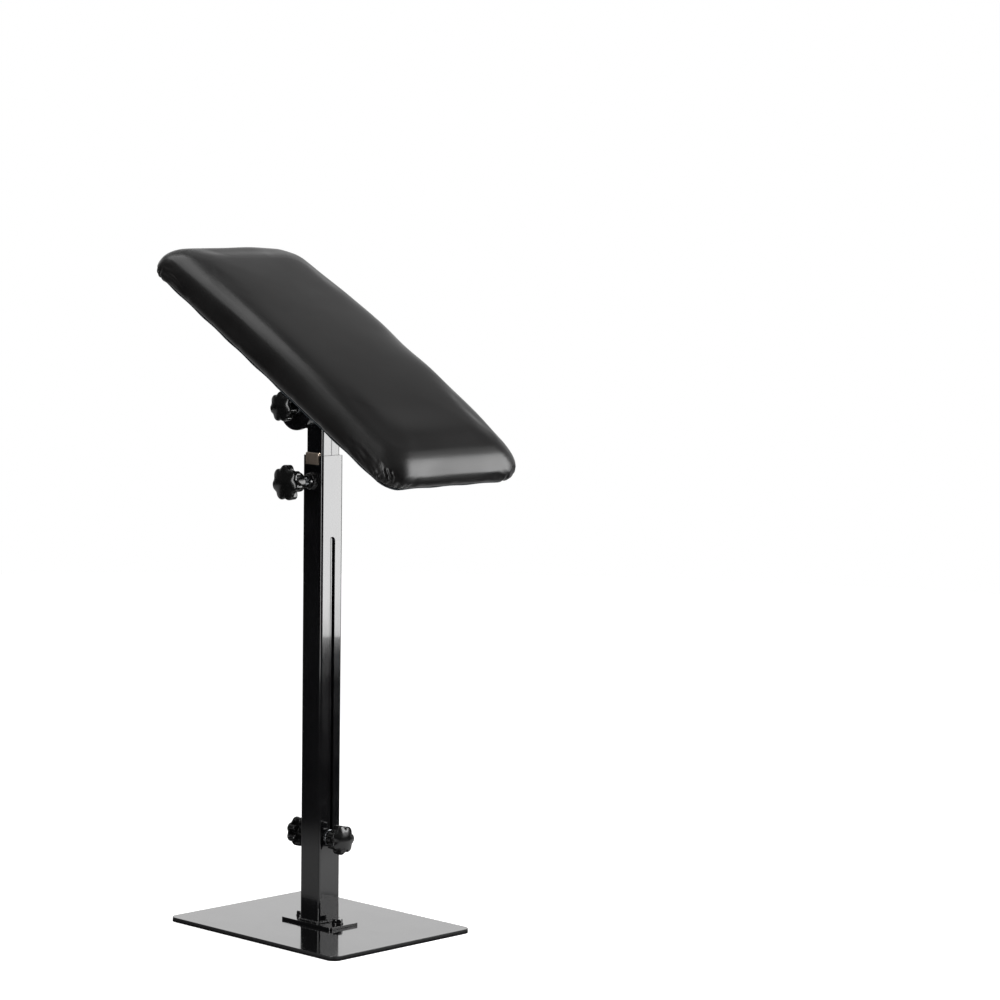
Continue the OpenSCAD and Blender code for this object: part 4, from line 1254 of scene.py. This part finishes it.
def foot_rise(x, y, height):
    """How far the lower edge rises at the middle of the lower end, in mm. Above the foot it rises more."""
    near_end = share_of((FOOT_RISE_FROM_MM - HALF_L - y) / FOOT_RISE_RUN_MM)
    off_corners = 1 - share_of(abs(x) / (HALF_W - CORNER_MM)) ** FOOT_RISE_POWER
    return FOOT_RISE_SHARE * (height - PAD_FOOT) * near_end * off_corners


def half_outline(inset, soft):
    """The right half of the pad's outline, inset all round, from the upper end to the lower end.

    The inset grows at the ends by the soft rows' shares, so that the ends roll off over a longer way."""
    corner = max(CORNER_MM - CORNER_SHRINK * inset, LEAST_CORNER_MM)
    x = HALF_W - inset - corner
    top = HALF_L - inset * (1 + soft * UPPER_SOFT) - corner
    low = HALF_L - inset * (1 + soft * LOWER_SOFT) - corner
    quarter = [math.pi / 2 * i / ROUND_CORNER_STEPS for i in range(ROUND_CORNER_STEPS + 1)]
    return ([(x + corner * math.sin(turn), top + corner * math.cos(turn)) for turn in quarter]
            + [(x + corner, top - (top + low) * i / LONG_SIDE_STEPS) for i in range(1, LONG_SIDE_STEPS)]
            + [(x + corner * math.cos(turn), -low - corner * math.sin(turn)) for turn in quarter])


def pad_levels(inset):
    """Rows of (inset, height, how far it follows the arch, how deep in the edge), from foot to crown."""
    low, foot = LOWER_MM, PAD_FOOT + inset * FOOT_INSET_SHARE
    edge_in = EDGE_MM * (1 - math.cos(EDGE_TURN))
    wall_top = PAD_TOP - inset - CROWN_MM - EDGE_MM * math.sin(EDGE_TURN)
    rows = [(low * (1 - math.sin(turn)), foot + low * (1 - math.cos(turn)), 0, 0)
            for turn in (math.pi / 2 * i / LOWER_STEPS for i in range(LOWER_STEPS + 1))]
    rows += [(EDGE_MM * (1 - math.cos(turn)), wall_top + EDGE_MM * math.sin(turn), 1, 1 - math.sin(turn))
             for turn in (EDGE_TURN * i / EDGE_STEPS for i in range(EDGE_STEPS + 1))]
    reach = HALF_W - edge_in - CROWN_FLAT_MM
    rows += [(edge_in + reach * way, PAD_TOP - inset - CROWN_MM * (1 - way) ** 2, 1, 0)
             for way in (i / CROWN_STEPS for i in range(1, CROWN_STEPS + 1))]
    return [(inset + into, height, share, deep) for into, height, share, deep in rows]


def pad_form(inset):
    """The pad's closed form in its own flat frame, inset on every side."""
    bm = bmesh.new()
    rings = []
    for into, height, share, deep in pad_levels(inset):
        right = half_outline(into, share)
        ring = []
        for x, y in right + [(-x, y) for x, y in reversed(right)]:
            if share:
                up = share * ((LOWER_DOME_MM - LOWER_DEEPER_MM * deep) * dome(x, y) - arch(y))
            else:
                up = foot_rise(x, y, height)
            ring.append(bm.verts.new((x * MM, y * MM, (height + up) * MM)))
        rings.append(ring)
    count = len(rings[0])
    for lower, upper in zip(rings, rings[1:]):
        for i in range(count):
            bm.faces.new((lower[i], lower[i - 1], upper[i - 1], upper[i]))
    bm.faces.new(rings[0])
    top = rings[-1]
    for i in range(count // 2 - 1):
        bm.faces.new((top[i], top[i + 1], top[count - 2 - i], top[count - 1 - i]))
    bmesh.ops.recalc_face_normals(bm, faces=bm.faces)
    return bm


print("the form leaves", SWELL_ROOM_MM, "mm for swelling")

# %% [markdown]
# **Swelling.** The form is cut into even 4 mm squares. Blender's cloth then runs for twenty frames with
# pressure inside and no gravity. The underside and the lowest part of the sides are held, as the board and
# the staples hold the leather. Loose cloth also wrinkles, but this leather is glued to its foam and lies
# smooth, so most of the wrinkling is averaged away. A soft cap then shortens the long moves, so that no point
# moves further than 2.4 mm.

# %% Cloth
HELD_BELOW_MM = 9.0
FREE_ABOVE_MM = 17.0
EVEN_ROUNDS = 60
NEIGHBOUR_SHARE = 0.6
WRINKLE_SHARE = 0.12
SWELL_CAP_MM = 2.4
CLOTH_FRAMES = 20
CLOTH = {"quality": 6, "mass": 0.3, "bending_stiffness": 0.6, "vertex_group_mass": "held",
         "use_pressure": True, "uniform_pressure_force": 4.0}


def even_out(mesh, values, rounds):
    """Averages each point's value with its neighbours', again and again."""
    ends = np.empty(len(mesh.edges) * 2, dtype=int)
    mesh.edges.foreach_get("vertices", ends)
    starts, stops = ends[::2], ends[1::2]
    count = np.bincount(ends, minlength=len(mesh.vertices))[:, None]
    for _ in range(rounds):
        total = np.zeros_like(values)
        np.add.at(total, starts, values[stops])
        np.add.at(total, stops, values[starts])
        values = (1 - NEIGHBOUR_SHARE) * values + NEIGHBOUR_SHARE * total / count
    return values


def swell(piece):
    """Runs the cloth, leaves its result, capped, in the piece's mesh, and returns the longest move in mm."""
    start = [v.co.copy() for v in piece.data.vertices]
    held = piece.vertex_groups.new(name="held")
    for i, co in enumerate(start):
        grip = (FREE_ABOVE_MM - co.z / MM) / (FREE_ABOVE_MM - HELD_BELOW_MM)
        held.add([i], share_of(grip), "REPLACE")
    cloth = piece.modifiers.new("swell", "CLOTH")
    for key, value in CLOTH.items():
        setattr(cloth.settings, key, value)
    cloth.settings.effector_weights.gravity = 0
    scene = bpy.context.scene
    for frame_number in range(1, CLOTH_FRAMES + 1):
        scene.frame_set(frame_number)
    done = piece.evaluated_get(bpy.context.evaluated_depsgraph_get()).data
    raw = np.array([v.co - rest for v, rest in zip(done.vertices, start)])
    piece.modifiers.clear()
    scene.frame_set(1)
    even = even_out(piece.data, raw, EVEN_ROUNDS)
    moved = even + WRINKLE_SHARE * (raw - even)
    length = np.maximum(np.linalg.norm(moved, axis=1), 1e-9)
    cap = SWELL_CAP_MM * MM
    moved *= (cap * np.tanh(length / cap) / length)[:, None]
    for vertex, rest, move in zip(piece.data.vertices, start, moved):
        vertex.co = rest + Vector(move)
    piece.vertex_groups.clear()
    return np.linalg.norm(moved, axis=1).max() / MM


pad_skin = loose_piece(pad_form(SWELL_ROOM_MM), "pad_skin")
voxels = pad_skin.modifiers.new("voxels", "REMESH")
voxels.mode = "VOXEL"
voxels.voxel_size = VOXEL_MM * MM
bake(pad_skin)
print("swelled by up to", round(swell(pad_skin), 1), "mm")
finer = pad_skin.modifiers.new("finer", "SUBSURF")
finer.levels = finer.render_levels = 1
bake(pad_skin)
print(len(pad_skin.data.vertices), "points of leather")

# %% [markdown]
# **Folds.** A fold is a line on the surface: the leather sinks along it and rises a little on both sides. The
# corners get a fan of them, each staple pulls one short one, and a few long ones run slanting up
# the sides towards the corners. A table adds the creases that show in the picture, and two more hold lumps,
# where cloth is bunched under a corner, and shallow dents, which keep the long edges from being
# ruler-straight. The faces at the corners are cut finer first, so that the small gathers show.

# %% Folds and dents
chance = random.Random(11)
SIDES = [(side_x, side_y) for side_x in (-1, 1) for side_y in (-1, 1)]
FAN_DEG = (6, 20, 33, 45, 58, 71, 85)
PULL_IN_MM = 7


def at_corner(side_x, side_y, angle, inset, height):
    """A point of the pad's surface at a corner, in mm. The angle runs from the long side to the end."""
    radius = CORNER_MM - inset
    return (side_x * (HALF_W - CORNER_MM + radius * math.cos(angle)),
            side_y * (HALF_L - CORNER_MM + radius * math.sin(angle)), height)


def corner_folds():
    """A fan of small gathers round every corner, from the underside up the side."""
    folds = []
    for side_x, side_y in SIDES:
        for step in FAN_DEG:
            angle = math.radians(step + chance.uniform(-4, 4))
            drift = math.radians(chance.uniform(-7, 7))
            top = chance.uniform(8, 15)
            line = [at_corner(side_x, side_y, angle, 12, PAD_FOOT), at_corner(side_x, side_y, angle, 3, 1.6),
                    at_corner(side_x, side_y, angle + drift / 2, 0, 8.0),
                    at_corner(side_x, side_y, angle + drift, 0.3, top)]
            folds.append((line, chance.uniform(1.5, 2.3), chance.uniform(0.5, 0.9)))
    return folds


def staple_pulls():
    """A short soft dent in the lower edge beside every staple."""
    folds = []
    for place in staple_places:
        x, y = place.x / MM, place.y / MM
        if HALF_W - abs(x) < HALF_L - abs(y):
            edge, under = (math.copysign(HALF_W, x), y), (math.copysign(HALF_W - PULL_IN_MM, x), y)
        else:
            edge, under = (x, math.copysign(HALF_L, y)), (x, math.copysign(HALF_L - PULL_IN_MM, y))
        line = [(*under, PAD_FOOT), (*edge, 6.0), (*edge, chance.uniform(6, 11))]
        folds.append((line, chance.uniform(3.5, 5.0), chance.uniform(0.15, 0.35)))
    return folds


def side_creases():
    """Slanting creases on the long sides and the ends, close to the corners."""
    folds = []
    for side_x, side_y in SIDES:
        for start, run, high in ((-30, 26, 19), (-44, 34, 15), (-18, 18, 22)):
            y = side_y * (HALF_L + start)
            line = [(side_x * HALF_W, y + side_y * 6, 6.0),
                    (side_x * HALF_W, y - side_y * run * 0.5, high * 0.7),
                    (side_x * (HALF_W - 1), y - side_y * run, high)]
            folds.append((line, chance.uniform(2.6, 3.6), chance.uniform(0.2, 0.4)))
        x = side_x * (HALF_W - 34)
        line = [(x + side_x * 5, side_y * HALF_L, 5.0), (x - side_x * 9, side_y * HALF_L, 13.0)]
        folds.append((line, 2.8, 0.5))
    return folds


PHOTO_CREASES = [
    # line in the pad's own mm, width and depth: long ones along the near side, loops round the near corner
    ([(-93, -134, 15), (-93, -156, 17.5), (-93, -178, 17), (-92, -194, 12), (-88, -205, 7)], 2.2, 0.3),
    ([(-92, -160, 24), (-92, -178, 23), (-92, -190, 18.5), (-90, -200, 12)], 2.0, 0.25),
    ([(-91, -197, 19), (-89, -202, 15), (-88, -204, 9)], 1.4, 0.9),
    ([(-88, -202, 20), (-86, -206, 15), (-85, -208, 8)], 1.3, 0.8),
    ([(-93, 158, 12), (-93, 174, 13.5), (-93, 190, 11), (-90, 201, 7)], 1.8, 0.6),
    ([(70, -214, 10), (52, -214, 12), (30, -214, 11)], 2.4, 0.25),
    ([(88, -200, 9), (90, -194, 14), (90, -186, 18)], 1.8, 0.5),
]
LUMPS = [
    # x, y, z, reach and height in mm: cloth bunched under a corner, and the stuffed corner itself
    (-92, 188, 5, 9, 1.8), (90, 196, 8, 9, 1.4), (-84, 203, 33, 20, -2.0), (86, 200, 34, 20, -4.4),
    (34, 205, 36, 26, 2.2), (92, -203, 12, 16, 2.6), (-91, 203, 10, 14, 2.2), (90, -135, 36, 40, 1.8),
]
DENTS = [
    # x, y, reach and depth in mm: soft hollows along the edges of the top
    (44, 205, 26, 1.7), (94, -12, 30, 2.4), (-90, 70, 40, 0.9), (88, 110, 30, -0.8), (-40, -208, 24, 0.6),
    (10, 20, 60, -0.8), (-30, -110, 45, 0.6), (35, 140, 50, 0.5),
]
ALONG_SURFACE = 0.9
FADE_IN, FADE_START, FADE_OUT = 0.15, 0.3, 0.35
RIDGE_AWAY, RIDGE_WIDE, RIDGE_SHARE = 1.9, 0.9, 0.4
REACH_WIDTHS, REACH_MORE_MM = 4, 3
DENT_LOW_MM, DENT_FULL_OVER_MM = 8, 10
FINER_REACH_MM = 36


def press_line(points, normals, line, width, depth):
    """How far a fold moves each point outwards, in mm. Distances are taken mostly along the surface."""
    nearest = np.full(len(points), 1e9)
    taper = np.zeros(len(points))
    spans = len(line) - 1
    for k in range(spans):
        start, end = np.array(line[k]), np.array(line[k + 1])
        run = end - start
        along = np.clip((points - start) @ run / (run @ run), 0, 1)
        away = points - start - along[:, None] * run
        away -= ALONG_SURFACE * np.sum(away * normals, axis=1)[:, None] * normals
        away = np.linalg.norm(away, axis=1)
        closer = away < nearest
        nearest[closer] = away[closer]
        taper[closer] = ((k + along) / spans)[closer]
    fade = np.clip(np.minimum(taper / FADE_IN + FADE_START, (1 - taper) / FADE_OUT), 0, 1)
    trough = np.exp(-(nearest / width) ** 2)
    ridge = np.exp(-((nearest - RIDGE_AWAY * width) / (RIDGE_WIDE * width)) ** 2)
    return depth * fade * (RIDGE_SHARE * ridge - trough)


def fold_mesh(mesh, folds, dents=(), lumps=()):
    """Moves a mesh's points along their normals, by the folds, dents and lumps."""
    count = len(mesh.vertices)
    points, normals = np.empty(count * 3), np.empty(count * 3)
    mesh.vertices.foreach_get("co", points)
    mesh.vertices.foreach_get("normal", normals)
    points = points.reshape(-1, 3) / MM
    normals = normals.reshape(-1, 3)
    move = np.zeros(count)
    for line, width, depth in folds:
        reach = REACH_WIDTHS * width + REACH_MORE_MM
        low, high = np.min(line, axis=0) - reach, np.max(line, axis=0) + reach
        near = np.all((points > low) & (points < high), axis=1)
        move[near] += press_line(points[near], normals[near], line, width, depth)
    for x, y, reach, depth in dents:
        away = np.hypot(points[:, 0] - x, points[:, 1] - y) / reach
        up = np.clip((points[:, 2] - DENT_LOW_MM) / DENT_FULL_OVER_MM, 0, 1)
        move -= depth * np.exp(-away ** 2) * up
    for *centre, reach, height in lumps:
        move += height * np.exp(-(np.linalg.norm(points - centre, axis=1) / reach) ** 2)
    points += normals * move[:, None]
    mesh.vertices.foreach_set("co", (points * MM).ravel())
    mesh.update()


def finer_corners(mesh, reach_mm):
    """Cuts the faces near the four corners once more."""
    bm = bmesh.new()
    bm.from_mesh(mesh)
    near_x, near_y = (HALF_W - reach_mm) * MM, (HALF_L - 2 * reach_mm) * MM
    near = [e for e in bm.edges if all(abs(v.co.x) > near_x and abs(v.co.y) > near_y for v in e.verts)]
    bmesh.ops.subdivide_edges(bm, edges=near, cuts=1, use_grid_fill=True, smooth=1.0)
    bm.to_mesh(mesh)
    bm.free()


finer_corners(pad_skin.data, FINER_REACH_MM)
pad_folds = corner_folds() + staple_pulls() + side_creases() + PHOTO_CREASES
fold_mesh(pad_skin.data, pad_folds, DENTS, LUMPS)
print(len(pad_folds), "folds,", len(DENTS), "dents and", len(LUMPS), "lumps")

# %% [markdown]
# **The skin.** Under the pad the leather ends in a hem, so its middle is cut out there. Then it gets its real
# thickness, inwards. The foam is the same form, a skin's thickness smaller, with room cut for the board.

# %% Leather and foam
HEM_INSET_MM = 33.0
UNDER_SHARE = -0.9
FOAM_GAP_MM = 0.3
ROOM_HIGH_MM = 40.0
ROOM_STEPS = 8


def leaning(piece):
    """The piece's mesh, moved from the flat frame to its place on the stand. The piece itself is removed."""
    bm = bmesh.new()
    bm.from_mesh(piece.data)
    bm.transform(PAD)
    bpy.data.objects.remove(piece)
    return bm


def thicken(piece, thickness_mm):
    """Gives a sheet its thickness, inwards."""
    body = piece.modifiers.new("thick", "SOLIDIFY")
    body.thickness = thickness_mm * MM
    body.offset = -1
    return bake(piece)


def board_room():
    """A block with the board's outline, from the board's upper face down to well below the foam."""
    low, high = box_in("pad_board", PAD)
    place = Matrix.Translation((0, 0, high.z - ROOM_HIGH_MM / 2 * MM))
    block = bmesh.new()
    bmesh.ops.create_cube(block, size=1.0, matrix=place @ Matrix.Diagonal(
        (high.x - low.x, high.y - low.y, ROOM_HIGH_MM * MM, 1)))
    upright = [e for e in block.edges if abs(e.verts[0].co.z - e.verts[1].co.z) > MM]
    bmesh.ops.bevel(block, geom=upright, offset=(CORNER_MM - (HALF_W - high.x / MM)) * MM,
                    segments=ROOM_STEPS, profile=0.5, affect="EDGES")
    return loose_piece(block, "board_room")


foam = pad_skin.copy()
foam.data = pad_skin.data.copy()
bpy.context.scene.collection.objects.link(foam)
for vertex, normal in zip(foam.data.vertices, [v.normal.copy() for v in foam.data.vertices]):
    vertex.co -= normal * (COVER_MM + FOAM_GAP_MM) * MM
room = board_room()
cut = foam.modifiers.new("room", "BOOLEAN")
cut.operation = "DIFFERENCE"
cut.object = room
bake(foam)
bpy.data.objects.remove(room)
stand_in(as_piece(leaning(foam), "foam_block", FOAM), "pad_foam")

bm = bmesh.new()
bm.from_mesh(pad_skin.data)
hem_x, hem_y = (HALF_W - HEM_INSET_MM) * MM, (HALF_L - HEM_INSET_MM) * MM
inside = []
for face in bm.faces:
    place = face.calc_center_median()
    if face.normal.z < UNDER_SHARE and abs(place.x) < hem_x and abs(place.y) < hem_y:
        inside.append(face)
bmesh.ops.delete(bm, geom=inside, context="FACES")
bpy.data.objects.remove(pad_skin)
skin = thicken(loose_piece(bm, "skin"), COVER_MM)
leather_cover = stand_in(as_piece(leaning(skin), "leather_cover", LEATHER), "pad_cover")
cover_low, cover_high = box_of(leather_cover.data, PAD)
print("leather", [round(side / MM, 1) for side in cover_high - cover_low], "mm, frame",
      [round(side / MM, 1) for side in pad_size])

# %% [markdown]
# **The lining** is a thin cloth, pulled flat and held by the staples. Between two staples it lifts a little,
# and from each staple a short crease runs inwards. Under the bracket's plate it is pressed flat.

# %% Lining
LINING_MM = 0.5
GRID_MM = 2.6
LINING_CORNER_MM = 18.0
PUFF_MM = 1.1
STAPLE_HOLD_MM = 20
EDGE_PUFF_MM = 26
PLATE_PRESS_MM = 18
PLATE_CLEAR_MM = 2
INNER_STAPLE_MM = 12
RIPPLE_ACROSS_MM = 38
RIPPLE_ALONG_MM = 52
RIPPLE_LAYER = 3.1
RIPPLE_EDGE_MM = 30
RIPPLE_SHARE = 0.9
RIPPLE_LOWEST = -0.15
lining_half_w = (lining_high.x - lining_low.x) / 2 / MM
lining_half_l = (lining_high.y - lining_low.y) / 2 / MM
plate_high = box_in("pad_bracket", PAD)[1]


def round_corner(x, y):
    """Moves a point of the rectangle so that the rectangle's corners become round."""
    flat_x, flat_y = lining_half_w - LINING_CORNER_MM, lining_half_l - LINING_CORNER_MM
    dx, dy = abs(x) - flat_x, abs(y) - flat_y
    if dx <= 0 or dy <= 0:
        return x, y
    squeeze = max(dx, dy) / math.hypot(dx, dy)
    return math.copysign(flat_x + dx * squeeze, x), math.copysign(flat_y + dy * squeeze, y)


def puff(x, y):
    """How far the lining stands off between its staples, in mm."""
    edge = max(min(lining_half_w - abs(x), lining_half_l - abs(y)), 0)
    near = min(math.hypot(x - p.x / MM, y - p.y / MM) for p in staple_places)
    loose = min(near / STAPLE_HOLD_MM, 1.0) * math.exp(-edge / EDGE_PUFF_MM)
    ripple = noise.noise(Vector((x / RIPPLE_ACROSS_MM, y / RIPPLE_ALONG_MM, RIPPLE_LAYER)))
    ripple = max(ripple * min(edge / RIPPLE_EDGE_MM, 1.0), RIPPLE_LOWEST)
    beside_plate = max(abs(x) - plate_high.x / MM, abs(y) - plate_high.y / MM) - PLATE_CLEAR_MM
    return PUFF_MM * (loose + RIPPLE_SHARE * ripple) * share_of(beside_plate / PLATE_PRESS_MM)


def inwards(x, y):
    """The angle at which a crease leaves its staple: square to the edge, or to the middle further in."""
    from_side, from_end = lining_half_w - abs(x), lining_half_l - abs(y)
    if min(from_side, from_end) > INNER_STAPLE_MM:
        return math.atan2(-y, -x)
    if from_side < from_end:
        return 0.0 if x < 0 else math.pi
    return math.copysign(math.pi / 2, -y)


def lining_net():
    """A net over the lining's outline, puffed out between the staples."""
    bm = bmesh.new()
    across, along = round(2 * lining_half_w / GRID_MM), round(2 * lining_half_l / GRID_MM)
    net = []
    for j in range(along + 1):
        for i in range(across + 1):
            x, y = round_corner((2 * i / across - 1) * lining_half_w, (2 * j / along - 1) * lining_half_l)
            net.append(bm.verts.new((x * MM, y * MM, -puff(x, y) * MM)))
    for j in range(along):
        for i in range(across):
            near, far = j * (across + 1) + i, (j + 1) * (across + 1) + i
            bm.faces.new((net[near], net[far], net[far + 1], net[near + 1]))
    return loose_piece(bm, "sheet")


def lining_creases():
    """Two short creases from every staple."""
    creases = []
    for place in staple_places:
        x, y = place.x / MM, place.y / MM
        for spread in (-0.5, 0.45):
            angle = inwards(x, y) + spread + chance.uniform(-0.3, 0.3)
            reach = chance.uniform(9, 26)
            line = [(x, y, 0.0), (x + reach * math.cos(angle), y + reach * math.sin(angle), 0.0)]
            creases.append((line, chance.uniform(1.8, 3.0), chance.uniform(0.25, 0.5)))
    return creases


cloth_sheet = lining_net()
fold_mesh(cloth_sheet.data, lining_creases())
thicken(cloth_sheet, LINING_MM)
lining = stand_in(as_piece(leaning(cloth_sheet), "stapled_lining", BACKING), "pad_lining")
print("lining of", round(2 * lining_half_w), "x", round(2 * lining_half_l), "mm")

# %% [markdown]
# ## Pieces that stay as they are
#
# The board, its nuts and the threaded inserts of the knobs have the right shape already. They only get
# their finish.

# %% Finish of the kept pieces
KEPT = {"pad_board": PLYWOOD, "board_nuts": ZINC, "front_knob_insert": BRASS, "rear_knob_insert": BRASS,
        "tilt_knob_insert": BRASS}
for node, material in KEPT.items():
    for slot_of_node in NODES[node].material_slots:
        slot_of_node.material = material
print(len(KEPT), "kept pieces")
